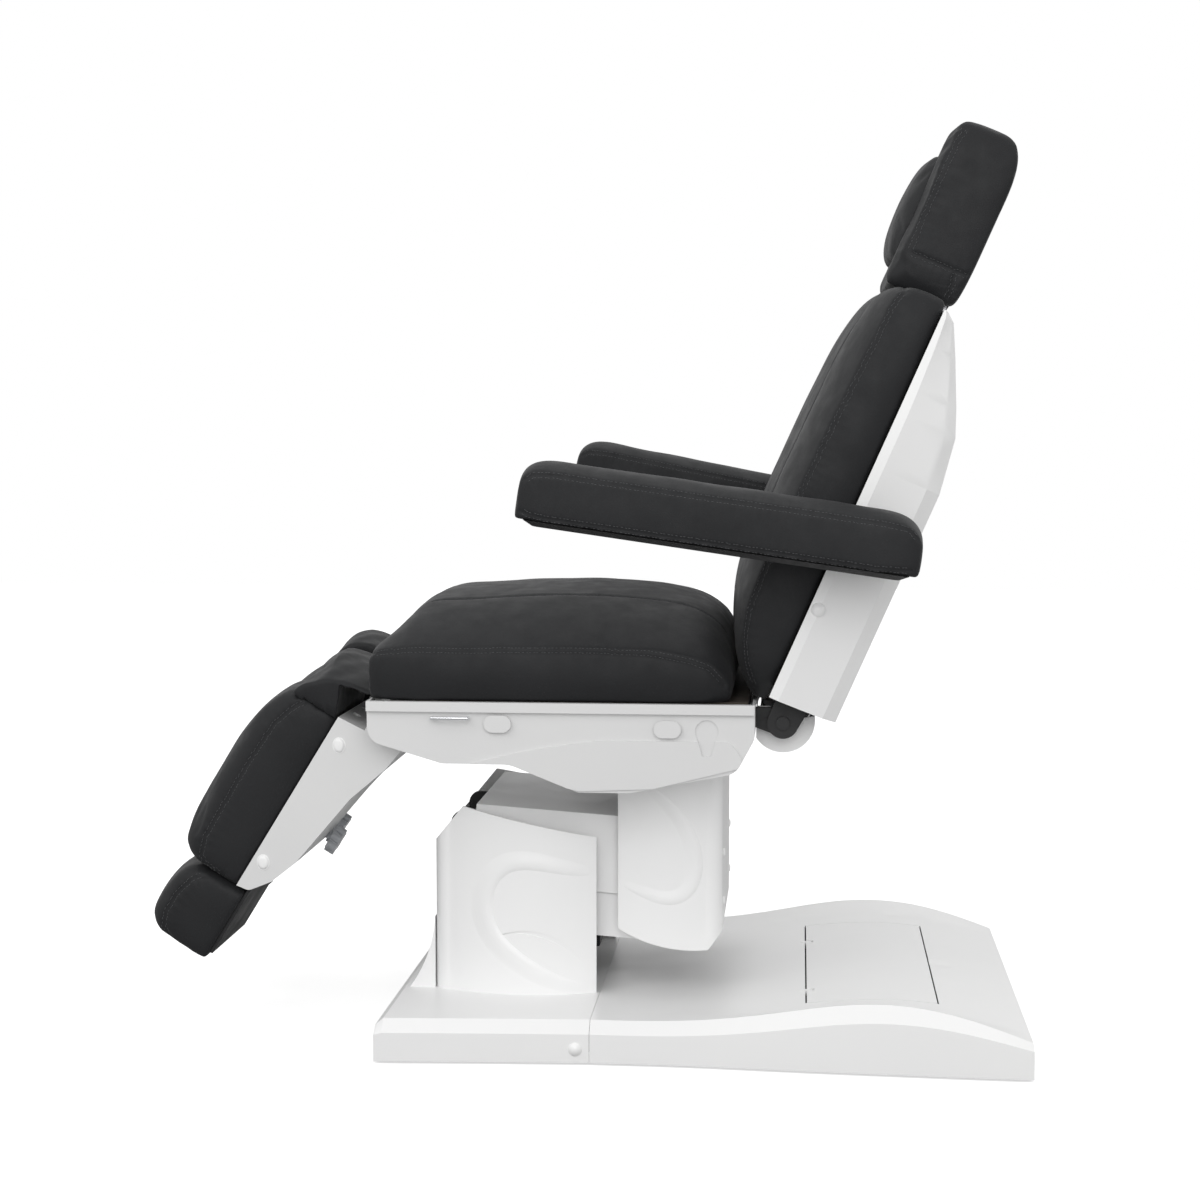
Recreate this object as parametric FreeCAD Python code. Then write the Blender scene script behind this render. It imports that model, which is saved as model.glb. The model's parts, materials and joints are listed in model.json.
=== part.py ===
import FreeCAD, Part
import math
import os

# Treatment chair. Millimetres, X from the feet (-) to the head (+), Y across, Z up, floor at Z = 0.

# Shared clearances
OVERRUN = 6.0
SOFT_GAP = 0.3
SEAM_GAP = 0.5
RUN_FIT = 0.05
SLIDE_FIT = 0.1
SIDE_PLAY = 1.0
COVER_WALL = 3.5
PLATE = 8.0
EDGE_ROUND = 4.0
CORNER_SAG_SHARE = 1.0 - math.sqrt(0.5)
QUARTER_TURN = 90.0
HALF_TURN = 180.0

# Base
BASE_LENGTH = 900.0
BASE_HALF = 361.0
BASE_SIDE_TOP = 73.0
BASE_CREST = 95.0
BASE_DISH = 17.0
BASE_CHAMFER = 16.0
BASE_DISH_SLOPE = 45.0
COVER_LIFT = 3.0
PARTING_X = -152.0
FOOT_HEIGHT = 10.0
FOOT_RADIUS = 26.0
PLATE_MARGIN_X = 40.0
PLATE_MARGIN_Y = 56.0
PLATE_HALF_X = BASE_LENGTH / 2 - PLATE_MARGIN_X
PLATE_HALF_Y = BASE_HALF - PLATE_MARGIN_Y
FOOT_MARGIN_X = 40.0
FOOT_MARGIN_Y = 35.0
FOOT_X = PLATE_HALF_X - FOOT_MARGIN_X
FOOT_Y = PLATE_HALF_Y - FOOT_MARGIN_Y
BOSS_RADIUS = 9.0
BOSS_Y = 245.0
FRONT_BOSS_X = (-385.0, -190.0)
REAR_BOSS_X = (-60.0, 392.0)
# stations along the base: place, half width, side height, crest height, dish depth
BASE_FRONT_SHARES = (
    (-0.500, 0.978, 0.55, 0.53, 0.0),
    (-0.487, 0.976, 0.59, 0.63, 0.0),
    (-0.333, 0.950, 0.59, 0.63, 0.0),
    (None, 0.928, 0.59, 0.63, 0.0),
)
BASE_REAR_SHARES = (
    (None, 0.928, 0.59, 0.63, 0.0),
    (-0.085, 0.930, 0.59, 0.63, 0.02),
    (0.000, 0.936, 0.63, 0.67, 0.15),
    (0.122, 0.958, 0.80, 0.83, 0.70),
    (0.277, 0.980, 1.00, 1.00, 1.00),
    (0.431, 0.997, 0.78, 0.75, 0.45),
    (0.500, 1.000, 0.57, 0.52, 0.0),
)
BASE_TOP_FRONT = BASE_CREST * BASE_FRONT_SHARES[-1][3]
FLARE_TOP = 165.0
FLARE_REACH = 40.0
FLARE_HALF = 162.0
FLARE_BOW = 9.0
CAP_RADIUS = 10.0
CAP_RISE = 6.0
BASE_CAP_X = -172.0
BASE_CAP_Z = 22.0

# Hatch, control box and mains inlet in the base
HATCH_X0 = 144.0
HATCH_X1 = 330.0
HATCH_HALF = 244.0
HATCH_GAP = 2.2
HATCH_LEDGE = 10.0
HATCH_PIN_R = 2.0
HATCH_KNUCKLE_R = 3.7
HATCH_KNUCKLE_Y = 150.0
HATCH_KNUCKLE_HALF = 15.0
HATCH_PIN_BELOW = 4.2
SCOOP_LENGTH = 26.0
SCOOP_BALL = 130.0
SCOOP_DEPTH = 2.4
BOX_LENGTH = 130.0
BOX_Y0 = -190.0
BOX_Y1 = 60.0
BOX_HEIGHT = 34.0
BOX_RIB = 6.0
BOX_RIB_COUNT = 7
INLET_WIDTH = 30.0
INLET_HEIGHT = 23.0
INLET_DEPTH = 22.0
INLET_CAVITY = 15.0
INLET_WALL = 3.0
INLET_Y = 60.0
INLET_Z = 30.0

# Lift column covers
COLUMN_FRONT_X = -394.0
COLUMN_REAR_X = -157.0
COLUMN_HALF = 172.0
COLUMN_BULGE = 24.0
COLUMN_ROUND = 24.0
COLUMN_FRONT_TOP = 270.0
COLUMN_PEAK_X = -350.0
COLUMN_PEAK = 331.0
COLUMN_REAR_TOP = 286.0
EMBOSS = 2.0
RISER_FRONT_X = -126.0
RISER_REAR_X = 24.0
RISER_FRONT_Z = 158.0
RISER_LOW_Z = 125.0
RISER_LOW_X = 4.0
RISER_BULGE = 10.0
# raised arch and lower sweep of the front cover: shares of its length and of its height
ARCH_SHARES = ((0.26, 0.46, 0.10), (0.38, 0.73, 0.05), (0.86, 0.70, 0.0), (0.88, 0.60, -0.05),
               (0.46, 0.61, -0.06), (0.39, 0.50, 0.0))
SWEEP_SHARES = ((0.42, 0.32, -0.14), (0.97, 0.03, 0.0), (0.97, 0.09, 0.09))
PETAL_SHARES = ((0.37, 0.97, 0.10), (0.77, 0.52, 0.10), (0.66, 0.30, 0.16), (0.10, 0.60, 0.04))

# Lift mechanism
ARM_LENGTH = 300.0
ARM_TILT = 4.0
LIFT_X = -345.0
LIFT_Z = 175.0
ARM_RISE = 110.0
ARM_HALF_HEIGHT = 17.0
ARM_BAR = 14.0
ARM_OUTER = 84.0
ARM_END_ROUND = ARM_HALF_HEIGHT * 0.9
LIFT_PIN_R = 12.0
ARM_TUBE_R = 18.0
BRACKET_PLATE = 10.0
BRACKET_HALF_X = 36.0
PIN_HEAD = 4.0
CRANK_RADIUS = 60.0
CRANK_LEAD = 29.0
CRANK_PIN_R = 8.0
CRANK_HALF = 7.0
CRANK_HUB_R = 8.0
CRANK_EYE_R = 12.0
YOKE_CHEEK = 9.0
YOKE_PLAY = 1.4
YOKE_WALL = 5.0
LIFT_ROD_R = 10.0
LIFT_DRIVE_X0 = -285.0
LIFT_DRIVE_X1 = -165.0
LIFT_DRIVE_HALF = 26.0
LIFT_DRIVE_FOOT = 50.0
MOTOR_RADIUS = 24.0
LIFT_MOTOR_LENGTH = 44.0
BACK_MOTOR_LENGTH = 96.0
BACK_MOTOR_R = 19.0
ARM_COVER_HALF = 155.0
ARM_HOOD_START = 8.0
ARM_TRAY_START = 76.0
ARM_COVER_END = 258.0
ARM_COVER_ABOVE = 46.0
ARM_COVER_SEAM = 42.0
ARM_COVER_BELOW = 20.0
ARM_COVER_WALL = 3.0
ARM_COVER_PLAY = 2.0

# Seat
SEAT_FRONT_X = -468.0
SEAT_REAR_X = 72.0
SHELL_RIM_HALF = 295.0
SHELL_HALF = 288.0
SHELL_TOP = 496.0
RIM_HEIGHT = 14.0
SHELL_FLOOR_Z = 371.0
SHELL_FRONT_STEP_X = -363.0
SHELL_FRONT_STEP_Z = 409.0
SHELL_NOSE_Z = 440.0
SHELL_KEEL_X0 = -172.0
SHELL_KEEL_X1 = -100.0
SHELL_REAR_Z = 400.0
SHELL_ROUND = 26.0
SWELL = 3.0
SWELL_SHARES = ((0.24, 0.30, 0.0), (0.31, 0.30, 0.0), (0.55, 0.02, 0.0), (0.74, 0.06, 0.0),
                (0.97, 0.34, 0.05),
                (0.93, 0.66, 0.0), (0.62, 0.66, 0.05))
LOOP_X = -350.0
LOOP_HALF = 25.0
LOOP_REACH = 12.0
LOOP_WIRE = 2.5
LOOP_Z = 474.0
OVAL_CAP_X = (-284.0, -48.0)
OVAL_CAP_Z = (466.0, 461.0)
OVAL_CAP_HALF_X = 19.0
OVAL_CAP_HALF_Z = 12.0
OVAL_CAP_RISE = 3.0
TEAR_X = 6.0
TEAR_TOP_Z = 474.0
TEAR_LOW_Z = 424.0
TEAR_TOP_R = 16.0
TEAR_LOW_R = 6.0
TEAR_DEPTH = 2.2
BOARD = 12.0
FRAME_FRONT_X = -405.0
FRAME_MARGIN = 26.0
FRAME_HALF = SHELL_HALF - FRAME_MARGIN
FRAME_REAR_X = 62.0
CARRIAGE_TOP_X0 = -112.0
CARRIAGE_TOP_X1 = 8.0
CARRIAGE_TOP_HALF = 112.0
FLOOR_HOLE_MARGIN = 8.0

# Seat cushion, stations along X: place, half width, seam height, crown height
SEAT_CUSHION_REAR_X = 38.0
SEAT_CUSHION_HALF = 291.0
SEAT_SEAM = 74.0
SEAT_CROWN = 146.0
SEAT_CHANNEL_Y_SHARE = 0.52
SEAT_CHANNEL_DIP = 7.0
SEAT_SIDE_BOW = 5.0
SEAT_BOLSTER_BOW = 9.0
SEAT_CENTRE_BOW = 9.0
SEAT_STATION_SHARES = (
    (0.000, 0.955, 0.80, 0.45),
    (0.020, 0.975, 0.90, 0.53),
    (0.041, 0.985, 0.94, 0.61),
    (0.075, 0.990, 0.96, 0.76),
    (0.112, 1.000, 0.98, 0.89),
    (0.200, 1.000, 0.99, 0.955),
    (0.420, 1.000, 1.00, 1.00),
    (0.730, 1.000, 0.98, 0.985),
    (0.855, 1.000, 0.93, 0.925),
    (0.911, 0.990, 0.85, 0.86),
    (0.943, 0.980, 0.76, 0.79),
    (0.976, 0.950, 0.58, 0.68),
    (0.990, 0.935, 0.46, 0.57),
    (1.000, 0.910, 0.30, 0.36),
)

# Backrest hinge and drive
HINGE_X = 110.0
HINGE_Z = 463.0
HINGE_PIN_R = 7.0
HINGE_PIN_HEAD = 2.5
HINGE_EAR_Y = 208.0
HINGE_HUB_R = 22.0
HINGE_COVER_HALF = 200.0
HINGE_COVER_R = 45.0
HINGE_COVER_TOP = 484.0
HINGE_LIP_ANGLE = 9.0
HINGE_FRONT_X = 92.0
HINGE_SHOULDER_RISE = 22.0
HINGE_SHOULDER_FOOT = 5.0
LEVER_RADIUS = 28.0
LEVER_LEAD = 33.0
LEVER_PIN_R = 5.0
LEVER_HALF = 6.0
LEVER_HUB_R = 9.0
LEVER_SLOT_HALF = 15.0
BACK_ROD_R = 7.0
BACK_DRIVE_X0 = -330.0
BACK_DRIVE_X1 = 24.0
BACK_DRIVE_R = 22.0
BACK_DRIVE_LUG = 14.0

# Backrest, in its own frame: along the back (u) from the lower edge, outwards to the sitter (n)
BACK_ANGLE = 66.2
BACK_X = 96.0
BACK_Z = 518.0
BACK_LENGTH = 563.0
BACK_HALF = 288.0
BACK_DEPTH = 100.0
BACK_REAR_HALF = 240.0
BACK_SIDE_DEPTH = 14.0
BACK_SKIRT = 12.0
BACK_PANEL_HALF = 262.0
BACK_CHAMFER = 20.0
BACK_BAND_SHARE = 0.4
BACK_SLOT_SHARE = 0.9
BACK_BOARD_SHARE = 0.97
# stations of the shell: place, depth of the front band, rear depth, rear half width
BACK_SHELL_SHARES = (
    (None, 1.00, 1.00, 1.00),
    (0.300, 1.00, 1.00, 1.00),
    (0.593, 1.00, 1.00, 1.00),
    (0.733, 0.98, 0.88, 1.00),
    (0.800, 0.90, 0.72, 1.01),
    (0.910, 0.70, 0.42, 1.03),
    (0.984, 0.45, 0.20, 1.06),
    (1.000, 0.20, 0.08, 1.08),
)
BACK_PAD_START = -24.0
BACK_PAD_LENGTH = 601.0
BACK_SEAM = 78.0
BACK_CROWN = 122.0
BACK_CHANNEL_Y_SHARE = 0.55
BACK_CHANNEL_DIP = 12.0
BACK_SIDE_BOW = 4.0
BACK_BOLSTER_BOW = 9.0
BACK_CENTRE_BOW = 10.0
BACK_STATION_SHARES = (
    (0.000, 0.86, 0.22, 0.24),
    (0.020, 0.89, 0.36, 0.37),
    (0.070, 0.96, 0.63, 0.61),
    (0.125, 0.98, 0.82, 0.745),
    (0.180, 0.99, 0.95, 0.855),
    (0.246, 0.99, 1.00, 0.95),
    (0.340, 0.99, 1.00, 0.99),
    (0.502, 0.99, 0.97, 1.00),
    (0.628, 0.99, 0.95, 0.99),
    (0.772, 0.99, 0.91, 0.975),
    (0.842, 0.99, 0.88, 0.95),
    (0.908, 0.98, 0.86, 0.895),
    (0.947, 0.97, 0.84, 0.84),
    (0.972, 0.955, 0.80, 0.775),
    (0.988, 0.94, 0.72, 0.67),
    (1.000, 0.92, 0.55, 0.49),
)
BACK_ARM_Y = 218.0
BACK_ARM_TOP = 310.0
BACK_ARM_DEPTH = 62.0
BACK_RIB_LOW = 40.0
BACK_RIB_HIGH = 236.0
BACK_RIB_WIDTH = 60.0
DOME_U = 125.0
DOME_N = 12.0
ARM_PIVOT_U = 243.0
ARM_PIVOT_N = -44.0
ARM_SHAFT_R = 12.0
ARM_SHAFT_END = 309.0

# Headrest, in the backrest frame
HEAD_BAR_Y = 60.0
HEAD_BAR_HALF = 20.0
HEAD_BAR = 6.0
HEAD_BAR_N = -9.0
HEAD_BAR_LOW = 400.0
HEAD_GUIDE_LOW = 385.0
HEAD_GUIDE_HIGH = 536.0
HEAD_GUIDE_WALL = 3.0
HEAD_PIVOT_U = 592.0
HEAD_PIVOT_N = 4.0
HEAD_PIN_R = 5.0
HEAD_EYE_R = 10.0
HEAD_KNUCKLE = 16.0
HEAD_LOW = 582.0
HEAD_HIGH = 826.0
HEAD_HALF = 146.0
HEAD_BACK_N = -20.0
HEAD_FACE_N = 86.0
HEAD_SIDE_BOW = 3.5
HEAD_POCKET_DEPTH = 26.0
HEAD_POCKET_U = HEAD_PIVOT_U + HEAD_POCKET_DEPTH
HEAD_POCKET_N = 22.0
HEAD_STATION_SHARES = (
    (0.000, 0.92, 0.08, 0.80),
    (0.040, 0.96, 0.04, 0.93),
    (0.100, 0.98, 0.02, 0.985),
    (0.300, 0.99, 0.00, 1.00),
    (0.600, 1.00, 0.00, 1.00),
    (0.860, 0.98, 0.04, 1.00),
    (0.950, 0.94, 0.13, 0.97),
    (1.000, 0.87, 0.32, 0.88),
)
HEAD_FRAME_HIGH = 790.0
HEAD_FRAME_HALF = 96.0
PILLOW_LOW = 584.0
PILLOW_HIGH = 760.0
PILLOW_HALF = 118.0
PILLOW_THICK = 19.0
PILLOW_BOW = 8.0
PILLOW_TOP_SHARE = 0.8
# stations of the pillow: place, half width, thickness
PILLOW_SHARES = (
    (0.00, 0.86, 0.35),
    (0.08, 0.93, 0.70),
    (0.30, 0.98, 0.95),
    (0.55, 1.00, 1.00),
    (0.80, 0.97, 0.85),
    (0.94, 0.92, 0.60),
    (1.00, 0.86, 0.30),
)

# Leg rests, drawn flat (toes to -X) about their pivot and then swung down
LEG_PIVOT_X = -440.0
LEG_PIVOT_Z = 455.0
LEG_DROP = 58.4
LEG_RIGHT_EXTRA = 3.0
LEG_INNER = 18.0
LEG_OUTER = 230.0
LEG_SHAFT_R = 10.0
LEG_HUB_R = 20.0
LEG_LUG = 12.0
LEG_TOP_N = 74.0
LEG_TOE = 322.0
LEG_HEEL = 34.0
LEG_KNEE_R = 32.0
KNEE_LOW_SHARE = 0.6
KNEE_ROUND_SHARE = 0.9
LEG_SHELL_SHARES = ((0.99, 0.74), (0.90, 0.45), (0.77, 0.24), (0.39, -0.02), (0.195, -0.30))
LEG_PAD_TOP = 113.0
LEG_PAD_SEAM = 76.0
LEG_PAD_BOW = 3.0
LEG_PAD_CROWN = 10.0
LEG_STATION_SHARES = (
    (0.000, 0.93, 0.78, 0.78),
    (0.030, 0.97, 0.90, 0.89),
    (0.070, 0.99, 0.96, 0.95),
    (0.120, 1.00, 1.00, 0.965),
    (0.250, 1.00, 1.00, 0.985),
    (0.450, 1.00, 1.00, 1.00),
    (0.620, 1.00, 1.00, 1.00),
    (0.720, 1.00, 1.00, 0.99),
    (0.800, 1.00, 0.98, 0.96),
    (0.880, 0.99, 0.93, 0.905),
    (0.940, 0.98, 0.87, 0.84),
    (0.980, 0.965, 0.80, 0.77),
    (1.000, 0.95, 0.72, 0.70),
)
LEG_RIB_Y = (48.0, 190.0)
GUIDE_Y = (92.0, 156.0)
GUIDE_HALF = 12.0
GUIDE_N = 61.0
GUIDE_HEIGHT = 18.0
GUIDE_START = 285.0
GUIDE_END = 150.0
FOOT_ROD_R = 6.0
FOOT_ROD_END = 155.0
FOOT_START = 330.0
FOOT_END = 443.0
FOOT_BASE_N = 56.0
FOOT_TOP_N = 168.0
FOOT_SEAM_N = 142.0
FOOT_STATION_SHARES = (
    (0.00, 0.93, 0.66, 0.74),
    (0.06, 0.97, 0.80, 0.84),
    (0.16, 0.99, 0.90, 0.92),
    (0.32, 1.00, 0.98, 0.975),
    (0.55, 1.00, 1.00, 1.00),
    (0.75, 1.00, 1.00, 1.00),
    (0.88, 0.99, 0.96, 0.96),
    (0.96, 0.97, 0.89, 0.88),
    (1.00, 0.94, 0.80, 0.80),
)
KNOB_S = 239.0
KNOB_Y = 42.0
KNOB_R = 22.0
KNOB_LOBES = 6
KNOB_LOBE_R = 7.0
KNOB_HEIGHT = 15.0
KNOB_NECK_R = 9.0
KNOB_NECK = 5.0
KNOB_STUD_R = 5.0
KNOB_TOP_N = 9.0
KNOB_BLOCK_HALF = 15.0
# flap between a leg cushion and the seat: start and hump in the leg frame (along, out), its foot at the seat
FLAP_START = 36.5
FLAP_START_LOW = 132.0
FLAP_START_HIGH = 151.0
FLAP_BOW = 4.0
FLAP_END_LOW_Z = 503.0
FLAP_END_HIGH_Z = 516.0
FLAP_INNER_TOP = ((6.0, 146.0), (27.0, 116.0))
FLAP_INNER_UNDER = ((-4.0, 134.0), (16.0, 104.0))
FLAP_MIDDLE_TOP = ((8.0, 150.0), (31.0, 118.0))
FLAP_MIDDLE_UNDER = ((-3.0, 137.0), (19.0, 106.0))
FLAP_OUTER_TOP = ((-5.0, 134.0), (18.0, 100.0))
FLAP_OUTER_UNDER = ((-14.0, 124.0), (10.0, 89.0))

# Armrests, drawn level about their pivot and then tipped up at the front
REST_TIP = 8.2
REST_RIGHT_EXTRA = 3.0
REST_FRONT = 480.0
REST_REAR = 58.0
REST_INNER = 312.0
REST_OUTER = 412.0
REST_TOP = 46.0
REST_SEAM = 32.0
REST_BOTTOM = 43.0
REST_BOARD = 7.0
REST_BEVEL = 12.0
REST_SIDE_BOW = 1.5
REST_HUB_INNER = 299.0
REST_HUB_HALF = 40.0
REST_HUB_TOP = 24.0
REST_STATION_SHARES = (
    (0.00, 0.78, 0.72),
    (0.02, 0.91, 0.90),
    (0.06, 0.99, 0.99),
    (0.12, 1.00, 1.00),
    (0.30, 1.00, 1.00),
    (0.50, 1.00, 1.00),
    (0.70, 1.00, 1.00),
    (0.86, 1.00, 1.00),
    (0.93, 0.99, 0.97),
    (0.98, 0.91, 0.82),
    (1.00, 0.78, 0.60),
)

nodes = {}
ORIGIN = FreeCAD.Vector(0, 0, 0)
AXIS_X = FreeCAD.Vector(1, 0, 0)
AXIS_Y = FreeCAD.Vector(0, 1, 0)
AXIS_Z = FreeCAD.Vector(0, 0, 1)


# Shape helpers


def side_place(y):
    """Places outline points (a, b) as X and Z at one Y."""
    return lambda a, b: FreeCAD.Vector(a, y, b)


def plan_place(z):
    """Places outline points (a, b) as X and Y at one Z."""
    return lambda a, b: FreeCAD.Vector(a, b, z)


def end_place(x):
    """Places outline points (a, b) as Y and Z at one X."""
    return lambda a, b: FreeCAD.Vector(x, a, b)


def bowed_wire(corners, place):
    """Closed wire through (a, b, bow) corners: each stretch to the next corner bows out by its bow."""
    edges = []
    for index, (a, b, bow) in enumerate(corners):
        a_next, b_next = corners[(index + 1) % len(corners)][:2]
        start = place(a, b)
        finish = place(a_next, b_next)
        if bow == 0:
            edges.append(Part.makeLine(start, finish))
            continue
        run = math.hypot(a_next - a, b_next - b)
        middle = place((a + a_next) / 2 + bow * (b_next - b) / run,
                       (b + b_next) / 2 - bow * (a_next - a) / run)
        edges.append(Part.Arc(start, middle, finish).toShape())
    return Part.Wire(edges)


def rounded_wire(corners, place):
    """Closed wire through (a, b, radius) corners, each radius blended by a tangent arc."""
    arcs = []
    for index, (a, b, radius) in enumerate(corners):
        here = FreeCAD.Vector(a, b, 0)
        before = FreeCAD.Vector(corners[index - 1][0], corners[index - 1][1], 0)
        after_corner = corners[(index + 1) % len(corners)]
        after = FreeCAD.Vector(after_corner[0], after_corner[1], 0)
        to_before = (before - here).normalize()
        to_after = (after - here).normalize()
        half = to_before.getAngle(to_after) / 2
        inward = (to_before + to_after).normalize()
        reach = radius / math.tan(half)
        middle = here + inward * (radius / math.sin(half) - radius)
        arcs.append((here + to_before * reach, middle, here + to_after * reach, radius))
    edges = []
    for index, (start, middle, finish, radius) in enumerate(arcs):
        if radius > 0:
            spots = [place(spot.x, spot.y) for spot in (start, middle, finish)]
            edges.append(Part.Arc(*spots).toShape())
        next_start = arcs[(index + 1) % len(arcs)][0]
        if finish.distanceToPoint(next_start) > RUN_FIT:
            edges.append(Part.makeLine(place(finish.x, finish.y), place(next_start.x, next_start.y)))
    return Part.Wire(edges)


def across(wire_maker, corners, y0, y1):
    """Side outline pulled across the chair from y0 to y1."""
    face = Part.Face(wire_maker(corners, side_place(y0)))
    return face.extrude(AXIS_Y * (y1 - y0))


def upright(wire_maker, corners, z0, z1):
    """Plan outline pulled up from z0 to z1."""
    face = Part.Face(wire_maker(corners, plan_place(z0)))
    return face.extrude(AXIS_Z * (z1 - z0))


def sharp(points):
    """Corners with no rounding and no bow."""
    return [(a, b, 0) for a, b in points]


def block(x0, x1, y0, y1, z0, z1):
    """Box between two corners."""
    return Part.makeBox(x1 - x0, y1 - y0, z1 - z0, FreeCAD.Vector(x0, y0, z0))


def bar(x, z, radius, y0, y1):
    """Round bar across the chair."""
    return Part.makeCylinder(radius, y1 - y0, FreeCAD.Vector(x, y0, z), AXIS_Y)


def mirrored(shape):
    """The same piece on the other side of the chair."""
    return shape.mirror(ORIGIN, AXIS_Y)


def both(shape):
    """A piece and its twin across the chair."""
    return Part.makeCompound([shape, mirrored(shape)])


def swung(shape, degrees, x, z):
    """Shape turned about the cross axis through the origin, then moved to (x, z)."""
    turned = shape.copy()
    turned.rotate(ORIGIN, AXIS_Y, degrees)
    turned.translate(FreeCAD.Vector(x, 0, z))
    return turned


def lofted(sections, ruled):
    """Solid through the sections, outside facing out."""
    solid = Part.makeLoft(sections, True, ruled)
    if solid.Volume < 0:
        solid.reverse()
    return solid


def one(shape):
    """The single solid of a boolean result, with its seams cleaned."""
    return shape.removeSplitter().Solids[0]


def stretched(start, length, shares):
    """Stations along a length: each share row with its place worked out."""
    return [(start + length * row[0],) + tuple(row[1:]) for row in shares]


def padded_section(place, low, half, seam, crown, channel, bows):
    """Cushion section: flat underside, bowed sides, two bolsters, a crowned centre between sewn channels."""
    side_bow, bolster_bow, centre_bow, dip = bows
    corners = (
        (-half + side_bow, low, 0),
        (half - side_bow, low, side_bow),
        (half, low + seam, bolster_bow),
        (channel, low + crown - dip, centre_bow),
        (-channel, low + crown - dip, bolster_bow),
        (-half, low + seam, side_bow),
    )
    return bowed_wire(corners, place)


# Base


def base_section(x, half, side, crest, dish, inset):
    """Base cover section across the chair; the inset gives the inner face of the wall."""
    low = COVER_LIFT - (OVERRUN if inset else 0)
    rim = half - BASE_CHAMFER
    flat = rim - BASE_DISH_SLOPE
    right = ((half - inset, low), (half - inset, side - inset / 2), (rim - inset / 2, crest - inset),
             (flat, crest - dish - inset))
    left = [(-a, b) for a, b in reversed(right)]
    return bowed_wire(sharp(list(right) + left), end_place(x))


def base_loft(shares, inset, end_inset):
    """Loft of base sections; end_inset draws the outer end in, towards the parting."""
    wires = []
    for place_share, half, side, crest, dish in shares:
        if place_share is None:
            x = PARTING_X + (OVERRUN if shares is BASE_FRONT_SHARES else -OVERRUN) * bool(inset)
        else:
            x = place_share * BASE_LENGTH
        if place_share is not None and abs(place_share) == max(abs(row[0] or 0) for row in shares):
            x -= math.copysign(end_inset, x)
        wires.append(base_section(x, half * BASE_HALF, side * BASE_SIDE_TOP, crest * BASE_CREST,
                                  dish * BASE_DISH, inset))
    return lofted(wires, shares is BASE_FRONT_SHARES)


def surface_height(solid, x):
    """Top of a solid on the middle line at one X."""
    plumb = Part.makeLine(FreeCAD.Vector(x, 0, COVER_LIFT), FreeCAD.Vector(x, 0, BASE_CREST * 2))
    return solid.common(plumb).BoundBox.ZMax


def screw_bosses(form, places, low):
    """Bosses that carry a base cover on the plate, up into its skin."""
    bosses = []
    for x in places:
        for y in (-BOSS_Y, BOSS_Y):
            post = Part.makeCylinder(BOSS_RADIUS, BASE_CREST, FreeCAD.Vector(x, y, low), AXIS_Z)
            bosses.append(post.common(form))
    return bosses


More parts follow.
